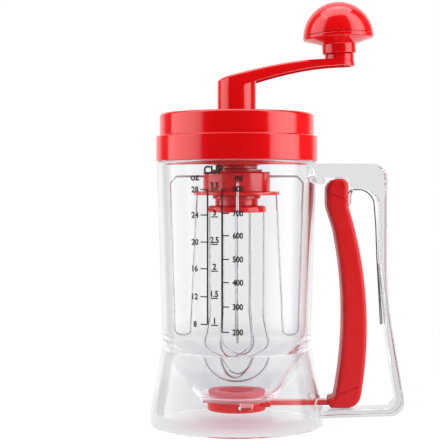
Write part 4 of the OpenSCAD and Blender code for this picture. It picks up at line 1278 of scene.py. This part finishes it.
@dataclass
class LeverSpring:
    """Torsion spring on the pivot pin, with a leg on the lever's back and one down the handle."""

    pivots: Pivots
    wire: float = 0.8
    coil_r: float = 2.7
    turns: float = 1.5
    first_y: float = 5.21
    pitch: float = 0.92
    low_leg: tuple[float, float] = (59.6, 139.5)
    long_leg: tuple[tuple[float, float, float], ...] = (
        (66.6, 140.6, 1.6), (72.0, 146.4, 4.0), (85.8, 146.4, 10.0), (87.6, 124.0, 60.0),
        (88.3, 104.0, 60.0), (90.7, 61.9, 0.7), (91.9, 61.7, 0.7), (88.95, 100.0, 0.0))
    leg_y: float = 5.0
    limb_gap: float = 0.88

    def build(self) -> None:
        """Makes the spring.

        Along the coil the angle falls evenly and y grows evenly. The long leg leaves the
        coil downwards, loops out of the channel, arches over and runs down the handle's
        inner face to a hairpin end, whose second limb lies behind the first.
        """
        x, z = self.pivots.pivot
        share = np.linspace(0, 1, round(COIL_STEPS * self.turns) + 1)
        angle = np.pi - 2 * np.pi * self.turns * share
        coil = np.stack([x + self.coil_r * np.cos(angle),
                         self.first_y + self.pitch * self.turns * share,
                         z + self.coil_r * np.sin(angle)], -1)
        run = bent([(x + self.coil_r, z, 0.0), *self.long_leg], WIRE_BEND_STEPS)[1:]
        limb_y = self.leg_y + self.limb_gap
        aside = np.interp(np.linspace(0, 1, len(run)), [0, 0.25, 0.75, 0.95, 1],
                          [coil[-1, 1], self.leg_y, self.leg_y, limb_y, limb_y])
        leg = np.stack([run[:, 0], aside, run[:, 1]], -1)
        path = np.vstack([[[self.low_leg[0], self.first_y, self.low_leg[1]]], coil, leg])
        make_piece(tube(path, self.wire / 2, (0, 1, 0)), "lever_return_spring", SPRING_WIRE, "jug",
                   ["lever_spring"])


@dataclass
class GateValve:
    """Seat washer on the floor, gate ring under it, and the sliding gate with its pin."""

    jug: JugSizes
    pivots: Pivots
    washer_r: float = 18.0
    washer_top: float = 21.45
    washer_seat: float = 18.57
    well_r: float = 10.7
    well_z: float = 19.45
    lip_r: tuple[float, float] = (7.25, 8.23)
    lip_low: float = 15.35
    ring_r: float = 18.4
    ring_in_r: float = 9.0
    ring_low: float = 8.8
    ring_high: float = 15.25
    channel_half: float = 10.8
    channel_z: float = 11.7
    channel_h: float = 8.0
    tip_x: float = 1.0
    tab_in: float = 17.6
    tab_out: float = 2.6
    tab_half: float = 3.2
    tab_z: tuple[float, float] = (13.6, 15.1)
    gate_half: float = 10.6
    gate_z: tuple[float, float] = (11.9, 15.1)
    gate_tip: float = -9.6
    blade_end: float = 21.0
    rod_half: float = 4.0
    rod_end: float = 63.5

    def washer(self) -> Form:
        """Seat washer with a well, a web and a lip that lines the outlet."""
        lip_in, lip_out = self.lip_r
        return turned([
            [lip_in, self.lip_low, 0.2], [lip_out, self.lip_low, 0.2], [lip_out, self.washer_seat, 0],
            [self.washer_r, self.washer_seat, 0.3], [self.washer_r, self.washer_top, 0.8],
            [self.well_r + 0.8, self.washer_top, 0.3], [self.well_r, self.washer_top - 0.8, 0.3],
            [self.well_r, self.well_z, 0.3], [lip_in, self.well_z, 0.4]])

    def ring(self) -> Form:
        """Gate ring with its channel and three bayonet tabs."""
        body = turned([[self.ring_in_r, self.ring_low, 0.3], [self.ring_r, self.ring_low, 0.9],
                       [self.ring_r, self.ring_high, 0.3], [self.ring_in_r, self.ring_high, 0.3]])
        half, end = self.channel_half, self.jug.foot_r
        start, turn = self.tip_x - half, half - ALMOST
        channel = plate([[start, -half, turn], [end, -half, 0], [end, half, 0], [start, half, turn]],
                        self.channel_z, self.channel_z + self.channel_h, 0.0, Plane.PLAN,
                        corner_steps=16)
        wide, out = self.tab_half, self.ring_r + self.tab_out
        tab = plate([[self.tab_in, -wide, 0], [out, -wide, 0.5], [out, wide, 0.5], [self.tab_in, wide, 0]],
                    *self.tab_z, 0.2, Plane.PLAN)
        return body.minus(channel).plus(*around(tab, 0.0, self.jug.hook_angles))

    def gate(self) -> Form:
        """Gate blade with a round tip and its rod, in plan."""
        tip, half, turn = self.gate_tip, self.gate_half, self.gate_half - ALMOST
        neck, rod, end = self.blade_end, self.rod_half, self.rod_end
        return plate([[tip, -half, turn], [neck, -half, 1.5], [neck, -rod, 1], [end, -rod, 0.8],
                      [end, rod, 0.8], [neck, rod, 1], [neck, half, 1.5], [tip, half, turn]],
                     *self.gate_z, 0.3, Plane.PLAN, corner_steps=12)

    def build(self) -> None:
        """Makes the valve's pieces."""
        make_piece(self.washer(), "valve_seat_washer", RED_RUBBER, "jug", ["valve_washer"])
        make_piece(self.ring(), "gate_holder_ring", GLOSS, "jug", ["gate_ring"])
        bore = cross_bar(self.pivots.link, self.pivots.link_pin_r + 0.05, 30)
        make_piece(self.gate().minus(bore), "gate_blade_and_rod", GLOSS, "gate", ["gate_slide"])
        dress_node("link_pin", ZINC)


@dataclass
class Lid:
    """The two-step lid with the gear cover, its screws and the seal."""

    lid_r: float = 50.3
    lid_z: float = 163.9
    cap_r: float = 48.1
    cap_z: float = 179.6
    top_z: float = 193.5
    round_r: float = 2.0
    lid_in_r: float = 48.4
    ledge_z: float = 178.9
    cap_in_r: float = 46.2
    in_top_z: float = 191.1
    shaft_bore_r: float = 4.2
    sleeve_t: float = 2.4
    sleeve_low: float = 177.0
    orbit_r: float = 20.25
    axle_angles: tuple[float, ...] = (0.0, 120.0, 240.0)
    axle_post: tuple[float, float] = (4.2, 176.2)
    axle_bore_r: float = 2.05
    screw_orbit_r: float = 39.6
    screw_angles: tuple[float, ...] = (60.0, 180.0, 300.0)
    screw_post: tuple[float, float] = (2.3, 163.45)
    screw_bore: tuple[float, float] = (1.15, 173.8)
    screw_way_r: float = 1.3
    screw_sink: tuple[float, float] = (2.3, 162.5)
    cover_r: float = 44.7
    cover_in_r: float = 43.1
    cover_low: float = 161.0
    cover_floor: float = 163.4
    cover_top: float = 178.7
    cover_bore_r: float = 8.2
    boss_r: float = 13.0
    boss_low: float = 158.1

    def cap(self) -> Form:
        """Turned lid with a sleeve for the shaft and posts for the axles and screws."""
        high = self.in_top_z + 1
        body = turned([
            [0, self.top_z, 0], [0, self.in_top_z, 0], [self.cap_in_r, self.in_top_z, 0.6],
            [self.cap_in_r, self.ledge_z, 0.3], [self.lid_in_r, self.ledge_z, 0.3],
            [self.lid_in_r, self.lid_z, 0.3], [self.lid_r, self.lid_z, 0.5],
            [self.lid_r, self.cap_z, 0.9], [self.cap_r, self.cap_z, 0.4],
            [self.cap_r, self.top_z, self.round_r]])
        posts = around(drum(*self.axle_post, high), self.orbit_r, self.axle_angles)
        posts += around(drum(*self.screw_post, high), self.screw_orbit_r, self.screw_angles)
        bores = around(drum(self.axle_bore_r, 170, self.in_top_z), self.orbit_r, self.axle_angles)
        screw_r, screw_end = self.screw_bore
        bores += around(drum(screw_r, 160, screw_end), self.screw_orbit_r, self.screw_angles)
        sleeve = drum(self.shaft_bore_r + self.sleeve_t, self.sleeve_low, high)
        return body.plus(sleeve, *posts).minus(drum(self.shaft_bore_r, 150, 200), *bores)

    def cover(self) -> Form:
        """Gear cover with its boss and counterbored screw holes."""
        body = turned([
            [self.cover_bore_r, self.boss_low, 0.2], [self.boss_r, self.boss_low, 0.5],
            [self.boss_r, self.cover_low - 0.8, 0.5], [20, self.cover_low, 1.0],
            [self.cover_r, self.cover_low, 0.8], [self.cover_r, self.cover_top, 0.3],
            [self.cover_in_r, self.cover_top, 0.3], [self.cover_in_r, self.cover_floor, 0.5],
            [self.cover_bore_r, self.cover_floor, 0.2]])
        ways = around(drum(self.screw_way_r, 150, 170), self.screw_orbit_r, self.screw_angles)
        sink_r, sink_top = self.screw_sink
        sinks = around(drum(sink_r, 150, sink_top), self.screw_orbit_r, self.screw_angles)
        return body.minus(*ways, *sinks)

    def build(self) -> None:
        """Makes the lid's pieces and dresses those that stay as they are."""
        make_piece(self.cap(), "lid_two_step_cap", GLOSS, "lid", ["lid_cap"])
        make_piece(self.cover(), "lid_gear_cover", GLOSS, "lid", ["gearbox_cover"])
        dress_node("lid_seal", WHITE_RUBBER)
        for node in ("cover_screws", "planet_axles", "drive_shaft", "hub_screw", "knob_axle"):
            dress_node(node, ZINC)
        for node in ("sun_gear", "planet_gear_1", "planet_gear_2", "planet_gear_3", "ring_gear"):
            dress_node(node, NYLON)


@dataclass
class Whisks:
    """The outer hub with four paddle loops and the inner hub with three balloon loops."""

    wire_r: float = 0.65
    loop_z: float = 153.6
    hub_r: float = 21.0
    reach: float = 42.0
    reach_low: float = 38.6
    loop_w: float = 9.4
    outer_bottom: float = 54.2
    outer_leg_r: float = 24.9
    flange_z: float = 142.2
    tuck: float = 1.35
    bore_r: float = 8.05
    rim_r: float = 27.0
    disc_z: float = 131.6
    disc_r: float = 18.4
    socket_r: float = 4.05
    screw_r: float = 1.15
    bulge_r: float = 19.8
    inner_bottom: float = 27.65
    loop_step: float = 2.85

    def outer_hub(self) -> Form:
        """Outer hub: collar, shell, flange and the tube inside."""
        low, shelf = self.flange_z, self.flange_z + 2.2
        return turned([
            [self.bore_r, 157.9, 0.2], [self.bore_r, shelf, 0.2], [10.2, shelf, 0.2], [10.2, 150.4, 0.5],
            [18.8, 150.4, 0.8], [18.8, low, 0.3], [self.rim_r, low, 0.6], [self.rim_r, shelf, 0.6],
            [self.hub_r, shelf, 0.6], [self.hub_r, 156.4, 0.9], [16, 156.4, 0.3], [16, 157.9, 0.4]])

    def inner_hub(self) -> Form:
        """Inner hub: step, neck and disc, with the room for its screw."""
        low, seat, top = self.disc_z, self.disc_z + 2.0, self.disc_z + 4.0
        return turned([
            [self.screw_r, seat, 0], [3.7, seat, 0], [3.7, low, 0.2], [self.disc_r, low, 0.5],
            [self.disc_r, top, 1.4], [13.4, top, 0.5], [13.4, 139.8, 0.3], [15, 139.8, 0.3],
            [15, 141.8, 0.4], [self.socket_r, 141.8, 0.1], [self.socket_r, top - 0.05, 0],
            [self.screw_r, top - 0.05, 0]])

    def outer_loop(self, number: int) -> Form:
        """Paddle loop: out of the hub, down the wall, round the bottom and up to the flange.

        Args:
            number: Which of the four, each a quarter turn after the last.

        Returns:
            The loop.
        """
        turn = self.loop_w / 2 - 0.2
        path = bent([
            [self.hub_r - 2.0, self.loop_z, 0], [self.reach - 4, self.loop_z, 2.5],
            [self.reach, self.loop_z - 4, 2.5], [self.reach_low, self.outer_bottom, turn],
            [self.reach_low - self.loop_w, self.outer_bottom, turn],
            [self.outer_leg_r, self.flange_z, 30],
            [self.outer_leg_r, self.flange_z + self.tuck, 0]], WIRE_BEND_STEPS)
        return self.wire(path, 90 * (number - 1))

    def inner_loop(self, number: int) -> Form:
        """Balloon loop: down from the disc, round a ball and up on the other side.

        Args:
            number: Which of the three. Each hangs a step higher than the last, so that they
                cross without touching.

        Returns:
            The loop.
        """
        ball = self.bulge_r
        centre = self.inner_bottom + (number - 1) * self.loop_step + ball
        tilt = math.radians(8)
        side = bent([
            [16.9, self.disc_z + 2.35, 0], [16.6, centre + ball, 25], [ball + 0.2, centre + 2.5, 12.5],
            [ball * math.cos(tilt), centre - ball * math.sin(tilt), 0]], WIRE_BEND_STEPS)
        angle = np.radians(np.linspace(-12, -168, 53))
        bottom = np.stack([ball * np.cos(angle), centre + ball * np.sin(angle)], -1)
        far = side[::-1] * [-1, 1]
        return self.wire(np.vstack([side, bottom, far]), 60 * (number - 1))

    def wire(self, path: np.ndarray, angle: float) -> Form:
        """Wire along a path of (radius, height) in the plane at an angle about Z."""
        flat = np.stack([path[:, 0], np.zeros(len(path)), path[:, 1]], -1)
        return tube(flat, self.wire_r, (0, 1, 0)).placed(turn_about_z(angle))

    def build(self) -> None:
        """Makes both whisks."""
        make_piece(self.outer_hub(), "outer_whisk_red_hub", GLOSS, "outer_whisk", ["outer_whisk_hub"])
        make_piece(self.inner_hub(), "inner_whisk_red_hub", GLOSS, "crank", ["inner_whisk_hub"])
        for number in (1, 2, 3, 4):
            make_piece(self.outer_loop(number), f"paddle_wire_{number}", WIRE, "outer_whisk",
                       [f"outer_loop_{number}"])
        for number in (1, 2, 3):
            make_piece(self.inner_loop(number), f"balloon_wire_{number}", WIRE, "crank",
                       [f"inner_loop_{number}"])


@dataclass
class Crank:
    """The crank: boss, rising arm, post and the mushroom knob."""

    boss_r: float = 12.0
    boss_z: float = 193.7
    top_low: float = 215.1
    rise: float = 12.1
    length: float = 63.9
    end_r: float = 9.6
    root_t: float = 9.2
    end_t: float = 4.0
    wall: float = 2.0
    soft: float = 2.4
    start_x: float = -11.2
    level_x: float = 57.9
    post_r: float = 9.0
    post_top: float = 230.6
    post_h: float = 2.4
    lean: float = 3.0
    collar_r: float = 10.4
    knob_r: float = 22.2
    shaft_r: float = 4.05
    shaft_top: float = 209.65
    axle_r: float = 3.0
    lip: float = 0.5
    half_steps: int = 33
    boss_cover: float = 1.3
    dome_r: float = 21.8
    dome_middle: float = 10.75
    dome_low: float = 12.35
    dome_hollow: tuple[float, float] = (5.2, 6.0)
    base_in_r: float = 3.2
    base_low: float = 0.2
    rim_z: tuple[float, float] = (9.4, 11.9)
    groove: tuple[float, float] = (1.1, 0.4)

    def top_at(self, x: np.ndarray) -> np.ndarray:
        """Height of the arm's top: it rises by s * (3 - s^2) / 2, so it levels off at the knob."""
        share = np.clip((x - self.start_x) / (self.level_x - self.start_x), 0, 1)
        return self.top_low + self.rise * share * (3 - share ** 2) / 2

    def depth_at(self, x: np.ndarray) -> np.ndarray:
        """Depth of the arm at a place along it, from its root to its end."""
        share = np.clip((x - self.start_x) / (self.length - self.start_x), 0, 1)
        return self.root_t + (self.end_t - self.root_t) * share

    def plan(self) -> tuple[np.ndarray, np.ndarray, np.ndarray]:
        """Plan of the arm as centre-line points, outward directions and radii.

        Two half circles, at the boss and at the end, are joined by straight sides whose
        radius falls evenly along the arm.
        """
        steps = self.half_steps
        side = np.linspace(0, 1, steps)[1:-1]
        half = np.linspace(-np.pi / 2, np.pi / 2, steps)
        left, right = np.full(steps - 2, np.pi / 2), np.full(steps - 2, 1.5 * np.pi)
        angle = np.concatenate([half, left, half + np.pi, right])
        share = np.concatenate([np.ones(steps), 1 - side, np.zeros(steps), side])
        centre = np.stack([share * self.length, np.zeros(len(share))], -1)
        out = np.stack([np.cos(angle), np.sin(angle)], -1)
        return centre, out, self.boss_r + (self.end_r - self.boss_r) * share

    def arm(self) -> Form:
        """Arm as a family of rings from its top over its edge and up inside the channel.

        Ring k is the plan moved in by an inset; its height follows the arm's top or, at the
        lip, the arm's depth. The first and last ring shrink to the centre line.
        """
        centre, out, radius = self.plan()
        quarter = np.linspace(0, np.pi / 2, EDGE_STEPS + 1)
        soft, lip, wall = self.soft, self.lip, self.wall

        def under_top(inset: np.ndarray | float, drop: float) -> np.ndarray:
            """Plan moved in, at a drop below the arm's top."""
            flat = centre + out * (radius - inset)[:, None]
            return np.column_stack([flat, self.top_at(flat[:, 0]) - drop])

        def over_lip(inset: float, raised: float) -> np.ndarray:
            """Plan moved in, raised a little above the arm's lower edge."""
            flat = centre + out * (radius - inset)[:, None]
            x = flat[:, 0]
            return np.column_stack([flat, self.top_at(x) - self.depth_at(x) + raised])

        rings = [under_top(inset, 0) for inset in (radius, soft * 3, soft * 1.5)]
        rings += [under_top(soft * (1 - math.sin(t)), soft * (1 - math.cos(t))) for t in quarter]
        rings += [over_lip(lip * (1 - math.cos(t)), lip * (1 - math.sin(t))) for t in quarter]
        rings += [over_lip(wall - lip * (1 - math.sin(t)), lip * (1 - math.cos(t))) for t in quarter]
        rings += [under_top(wall, wall + 0.6), under_top(wall + 0.2, wall + 0.2),
                  under_top(wall + 0.6, wall), under_top(radius, wall)]
        return Form.from_rings(np.stack(rings))

    def place_knob(self, form: Form) -> Form:
        """Moves a form from the knob's own frame onto the post, leaning to the shaft."""
        return form.placed(turn_about_y(-self.lean), (self.length, 0, self.post_top))

    def boss(self) -> Form:
        """Boss under the arm: a bar cut off just below the arm's top."""
        radius = self.boss_r - 0.02
        bar = turned([[0, self.boss_z, 0], [radius, self.boss_z, 0.6], [radius, 240, 0], [0, 240, 0]])
        x = np.linspace(self.start_x, self.length / 2, 24)
        line = np.column_stack([x, self.top_at(x) - self.boss_cover, np.zeros(len(x))])
        side = [[-30, 150, 0], [40, 150, 0], [40, line[-1, 1] + 2, 0], *line[::-1].tolist(),
                [-30, line[0, 1] - 4, 0]]
        return bar.within(plate(side, -30, 30, 0.0, corner_steps=1))

    def build(self) -> None:
        """Makes the crank and its knob."""
        foot = -self.post_h - 3.0
        post = self.place_knob(turned([
            [0, foot, 0], [self.post_r, foot, 0], [self.post_r, 0, 0.5], [0, 0, 0]]))
        whole = self.arm().plus(self.boss(), post)
        bore = drum(self.shaft_r, 150, self.shaft_top)
        axle = self.place_knob(drum(self.axle_r + 0.05, -12, 4))
        make_piece(whole.minus(bore, axle), "crank_boss_and_arm", GLOSS, "crank", ["crank_arm"])
        for form, name, node in ((self.base(), "knob_mushroom_base", "knob_base"),
                                 (self.dome(), "knob_mushroom_dome", "knob_dome")):
            make_piece(self.place_knob(form), name, GLOSS, "knob", [node])

    def base(self) -> Form:
        """Base of the knob: collar, flared underside, rim and the groove under the dome."""
        low_rim, high_rim = self.rim_z
        deep, tall = self.groove
        neck, top = self.knob_r - deep, high_rim + tall
        return turned([
            [self.base_in_r, self.base_low, 0], [self.collar_r, self.base_low, 0.6],
            [self.collar_r, 6.2, 0.8], [self.knob_r - 0.6, low_rim, 1.0], [self.knob_r, high_rim, 0.7],
            [neck, high_rim, 0.1], [neck, top, 0], [self.base_in_r, top, 0]])

    def dome(self) -> Form:
        """Dome of the knob: part of a ball whose middle lies in the knob's base."""
        middle, radius, low = self.dome_middle, self.dome_r, self.dome_low
        hole_r, hole_h = self.dome_hollow
        angle = np.linspace(math.asin((low - middle) / radius), np.pi / 2, 40)
        shell = np.stack([radius * np.cos(angle), middle + radius * np.sin(angle)], -1)
        hollow = np.array([[0, low + hole_h], [hole_r, low + hole_h], [hole_r, low]])
        return revolved(np.vstack([shell, hollow]))


# ---------------------------------------------------------------------------------------
# Studio
# ---------------------------------------------------------------------------------------

@dataclass(frozen=True)
class Softbox:
    """A large soft lamp, placed round the object by direction and distance.

    Azimuth is in degrees, counted from the camera's side and positive towards the handle.
    The shares are the lamp's level at its front and back edge, against its middle third.
    """

    name: str
    azimuth: float
    distance: float
    width: float
    low: float
    high: float
    radiance: float
    front_share: float = 1.0
    back_share: float = 1.0

    def build(self) -> None:
        """Adds the lamp, facing the object's axis and fading towards its front and back edge."""
        height = self.high - self.low
        light = bpy.data.lights.new(self.name, "AREA")
        light.shape = "RECTANGLE"
        light.size = self.width * MM
        light.size_y = height * MM
        light.energy = self.radiance * math.pi * self.width * height * MM ** 2
        lamp = bpy.data.objects.new(self.name, light)
        turn = math.radians(self.azimuth)
        place = (self.distance * math.sin(turn), -self.distance * math.cos(turn),
                 (self.low + self.high) / 2)
        lamp.location = [v * MM for v in place]
        lamp.rotation_euler = (math.pi / 2, 0, turn)
        lamp.visible_camera = False
        bpy.context.scene.collection.objects.link(lamp)
        light.use_nodes = True
        self.fade(light.node_tree)

    def fade(self, tree: bpy.types.NodeTree) -> None:
        """Makes the level across the lamp rise from one edge's share to 1 and fall again.

        Args:
            tree: The lamp's node tree.
        """
        tree.nodes.clear()
        across = add_node(tree, "ShaderNodeSeparateXYZ", None, {
            "Vector": add_node(tree, "ShaderNodeNewGeometry").outputs["Parametric"]})
        level = add_node(tree, "ShaderNodeFloatCurve", None, {"Value": across.outputs["X"]})
        first, last = self.front_share, self.back_share
        if self.azimuth < 0:
            first, last = last, first
        points = level.mapping.curves[0].points
        points[0].location = (0, first)
        points[1].location = (1, last)
        for third in (1 / 3, 2 / 3):
            points.new(third, 1.0)
        level.mapping.update()
        glow = add_node(tree, "ShaderNodeEmission", None, {"Strength": level.outputs[0]})
        out = add_node(tree, "ShaderNodeOutputLight")
        tree.links.new(glow.outputs["Emission"], out.inputs["Surface"])


@dataclass
class Studio:
    """White sweep, two side softboxes, one overhead and the camera.

    Levels are against plain white, which is 1. Angles of the room are in degrees away from
    the camera's side.
    """

    eye: tuple[float, float, float] = (-10.4, -795.0, 141.6)
    lens_mm: float = 104.07
    sensor_mm: float = 36.0
    pitch: float = 1.027
    boxes: tuple[Softbox, ...] = (
        Softbox("left_softbox", -79, 450, 515, -60, 1000, 2.42, 0.3, 0.95),
        Softbox("right_softbox", 69, 450, 412, -60, 1000, 3.5, 0.55, 0.42))
    overhead_size: tuple[float, float] = (680.0, 430.0)
    overhead_z: float = 800.0
    overhead_radiance: float = 3.0
    dark_front: float = 0.02
    dark_side: float = 0.12
    side_angles: tuple[float, float] = (45.0, 105.0)
    backdrop_angles: tuple[float, float] = (129.0, 145.0)
    clear_front: float = 0.55
    soft_light: float = 0.44
    floor_width: float = 600.0
    floor_y: tuple[float, float] = (-300.0, 600.0)
    floor_z: float = -0.2
    floor_paint: str = "#e6e6e6"
    floor_level: float = 1.03
    floor_share: float = 0.92
    # Painted shadow with painted red bounce light under the jug and a painted shade round it, seen only by
    # rays that come through the jug.
    floor_painted_shadow_and_bounce: str = "#dcbdc8"
    floor_shade: str = "#e9e7ea"
    # Painted darker sweep behind the jug, seen only by rays that come through it.
    floor_behind: str = "#ebebed"
    painted_shadow_and_bounce_reach: tuple[float, float] = (5.0, 48.0)
    shade_reach: tuple[float, float] = (50.0, 75.0)
    behind_reach: tuple[float, float] = (150.0, 590.0)
    bounces: int = 24

    def build_camera(self) -> None:
        """Camera at the front, slightly above the jug's middle, looking a little down."""
        data = bpy.data.cameras.new("camera")
        data.lens = self.lens_mm
        data.sensor_width = self.sensor_mm
        camera = bpy.data.objects.new("camera", data)
        camera.location = [v * MM for v in self.eye]
        camera.rotation_euler = (math.radians(90 - self.pitch), 0, 0)
        bpy.context.scene.collection.objects.link(camera)
        bpy.context.scene.camera = camera

    def build_lamps(self) -> None:
        """Adds the side softboxes and the overhead one."""
        for box in self.boxes:
            box.build()
        light = bpy.data.lights.new("overhead_softbox", "AREA")
        across, deep = (side * MM for side in self.overhead_size)
        light.shape = "RECTANGLE"
        light.size, light.size_y = across, deep
        light.energy = self.overhead_radiance * math.pi * across * deep
        lamp = bpy.data.objects.new("overhead_softbox", light)
        lamp.location = (0, 0, self.overhead_z * MM)
        lamp.visible_camera = False
        bpy.context.scene.collection.objects.link(lamp)

    def build_world(self) -> None:
        """White backdrop behind, a dim room in front, and even soft light on matt surfaces.

        The backdrop's share grows smoothly with the angle away from the camera's side,
        which is the arc tangent of x over minus y of the ray's direction. Rays that come out
        of clear plastic meet a lighter front, and rays after a matt surface an even light.
        """
        world = bpy.data.worlds.new("studio")
        world.use_nodes = True
        world.cycles.sampling_method = "NONE"
        tree = world.node_tree
        tree.nodes.clear()
        way = add_node(tree, "ShaderNodeSeparateXYZ", None, {
            "Vector": add_node(tree, "ShaderNodeTexCoord").outputs["Generated"]})
        back = add_node(tree, "ShaderNodeMath", {"operation": "MULTIPLY"}, {
            0: way.outputs["Y"], 1: -1.0})
        turn = add_node(tree, "ShaderNodeMath", {"operation": "ARCTAN2"}, {
            0: way.outputs["X"], 1: back.outputs[0]})
        aside = add_node(tree, "ShaderNodeMath", {"operation": "ABSOLUTE"}, {0: turn.outputs[0]})
        path = add_node(tree, "ShaderNodeLightPath")
        side_from, side_to = (math.radians(angle) for angle in self.side_angles)
        dim = add_node(tree, "ShaderNodeMapRange", None, {
            "Value": aside.outputs[0], "From Min": side_from, "From Max": side_to,
            "To Min": self.dark_front, "To Max": self.dark_side})
        inside = add_node(tree, "ShaderNodeMath", {"operation": "MINIMUM"}, {
            0: path.outputs["Transmission Depth"], 1: 1.0})
        front = add_node(tree, "ShaderNodeMix", None, {
            "Factor": inside.outputs[0], "A": dim.outputs["Result"], "B": self.clear_front})
        back_from, back_to = (math.radians(angle) for angle in self.backdrop_angles)
        room = add_node(tree, "ShaderNodeMapRange", {"interpolation_type": "SMOOTHSTEP"}, {
            "Value": aside.outputs[0], "From Min": back_from, "From Max": back_to,
            "To Min": front.outputs[0], "To Max": 1.0})
        seen = add_node(tree, "ShaderNodeMix", None, {
            "Factor": path.outputs["Is Camera Ray"], "A": room.outputs["Result"], "B": 1.0})
        after_matt = add_node(tree, "ShaderNodeMath", {"operation": "GREATER_THAN"}, {
            0: path.outputs["Diffuse Depth"], 1: 0.5})
        level = add_node(tree, "ShaderNodeMix", None, {
            "Factor": after_matt.outputs[0], "A": seen.outputs[0], "B": self.soft_light})
        light = add_node(tree, "ShaderNodeBackground", None, {
            "Color": WHITE, "Strength": level.outputs[0]})
        out = add_node(tree, "ShaderNodeOutputWorld")
        tree.links.new(light.outputs["Background"], out.inputs["Surface"])
        bpy.context.scene.world = world

    def floor_tone(self, tree: bpy.types.NodeTree, path: bpy.types.Node) -> bpy.types.NodeSocket:
        """Colour that the floor shows: white, but with painted rings for rays that come through the jug.

        Those rays see a painted shadow, tinted with painted red bounce light, under the red valve, a
        painted shade round it, and a painted darker sweep behind that turns white with distance.

        Args:
            tree: The floor's node tree.
            path: Its Light Path node.

        Returns:
            The colour.
        """
        away = add_node(tree, "ShaderNodeVectorMath", {"operation": "LENGTH"}, {
            0: add_node(tree, "ShaderNodeTexCoord").outputs["Object"]})
        painted_shadow_and_bounce, shade, behind = (to_linear(colour) for colour in (
            self.floor_painted_shadow_and_bounce, self.floor_shade, self.floor_behind))
        inner, outer, far = (
            add_node(tree, "ShaderNodeMapRange", {"interpolation_type": "SMOOTHSTEP"}, {
                "Value": away.outputs["Value"], "From Min": near * MM, "From Max": end * MM})
            for near, end in (self.painted_shadow_and_bounce_reach, self.shade_reach, self.behind_reach))
        under, sweep = (
            add_node(tree, "ShaderNodeMix", {"data_type": "RGBA"}, {
                "Factor": share.outputs["Result"], "A": one, "B": two})
            for share, one, two in ((inner, painted_shadow_and_bounce, shade), (far, behind, WHITE)))
        through = add_node(tree, "ShaderNodeMix", {"data_type": "RGBA"}, {
            "Factor": outer.outputs["Result"], "A": under.outputs[2], "B": sweep.outputs[2]})
        return add_node(tree, "ShaderNodeMix", {"data_type": "RGBA"}, {
            "Factor": path.outputs["Is Transmission Ray"], "A": WHITE,
            "B": through.outputs[2]}).outputs[2]

    def build_floor(self) -> None:
        """White table top: mostly plain white to the eye, with a share that keeps the shadow."""
        half = self.floor_width / 2
        front, back = self.floor_y
        corners = np.array([[-half, front], [half, front], [half, back], [-half, back]])
        points = np.column_stack([corners, np.full(4, self.floor_z)]) * MM
        mesh = bpy.data.meshes.new("floor")
        mesh.from_pydata(points.tolist(), [], [[0, 1, 2, 3]])
        material = bpy.data.materials.new("white_table_top")
        material.use_nodes = True
        tree = material.node_tree
        tree.nodes.clear()
        path = add_node(tree, "ShaderNodeLightPath")
        paint = add_node(tree, "ShaderNodeBsdfDiffuse", None, {"Color": to_linear(self.floor_paint)})
        plain = add_node(tree, "ShaderNodeEmission", None, {
            "Color": self.floor_tone(tree, path), "Strength": self.floor_level})
        either = add_node(tree, "ShaderNodeMath", {"operation": "MAXIMUM"}, {
            0: path.outputs["Is Glossy Ray"], 1: path.outputs["Is Transmission Ray"]})
        looked = add_node(tree, "ShaderNodeMath", {"operation": "MAXIMUM"}, {
            0: either.outputs[0], 1: path.outputs["Is Camera Ray"]})
        share = add_node(tree, "ShaderNodeMath", {"operation": "MULTIPLY"}, {
            0: looked.outputs[0], 1: self.floor_share})
        mixed = add_node(tree, "ShaderNodeMixShader", None, {
            0: share.outputs[0], 1: paint.outputs["BSDF"], 2: plain.outputs["Emission"]})
        out = add_node(tree, "ShaderNodeOutputMaterial")
        tree.links.new(mixed.outputs["Shader"], out.inputs["Surface"])
        mesh.materials.append(material)
        floor = bpy.data.objects.new("floor", mesh)
        bpy.context.scene.collection.objects.link(floor)

    def build(self) -> None:
        """Sets up the whole studio."""
        scene = bpy.context.scene
        scene.view_settings.view_transform = "Standard"
        scene.cycles.glossy_bounces = self.bounces
        scene.cycles.transmission_bounces = self.bounces
        scene.cycles.max_bounces = self.bounces
        self.build_camera()
        self.build_lamps()
        self.build_world()
        self.build_floor()


def main() -> None:
    """Builds every sub-assembly in order and then the studio."""
    logging.basicConfig(level=logging.INFO, format="%(message)s")
    jug, pivots = JugSizes(), Pivots()
    for part in (Jug(jug), ScalePrint(jug), Handle(jug, pivots), Lever(pivots), LeverSpring(pivots),
                 GateValve(jug, pivots), Lid(), Whisks(), Crank()):
        part.build()
    Studio().build()


if __name__ == "__main__":
    main()
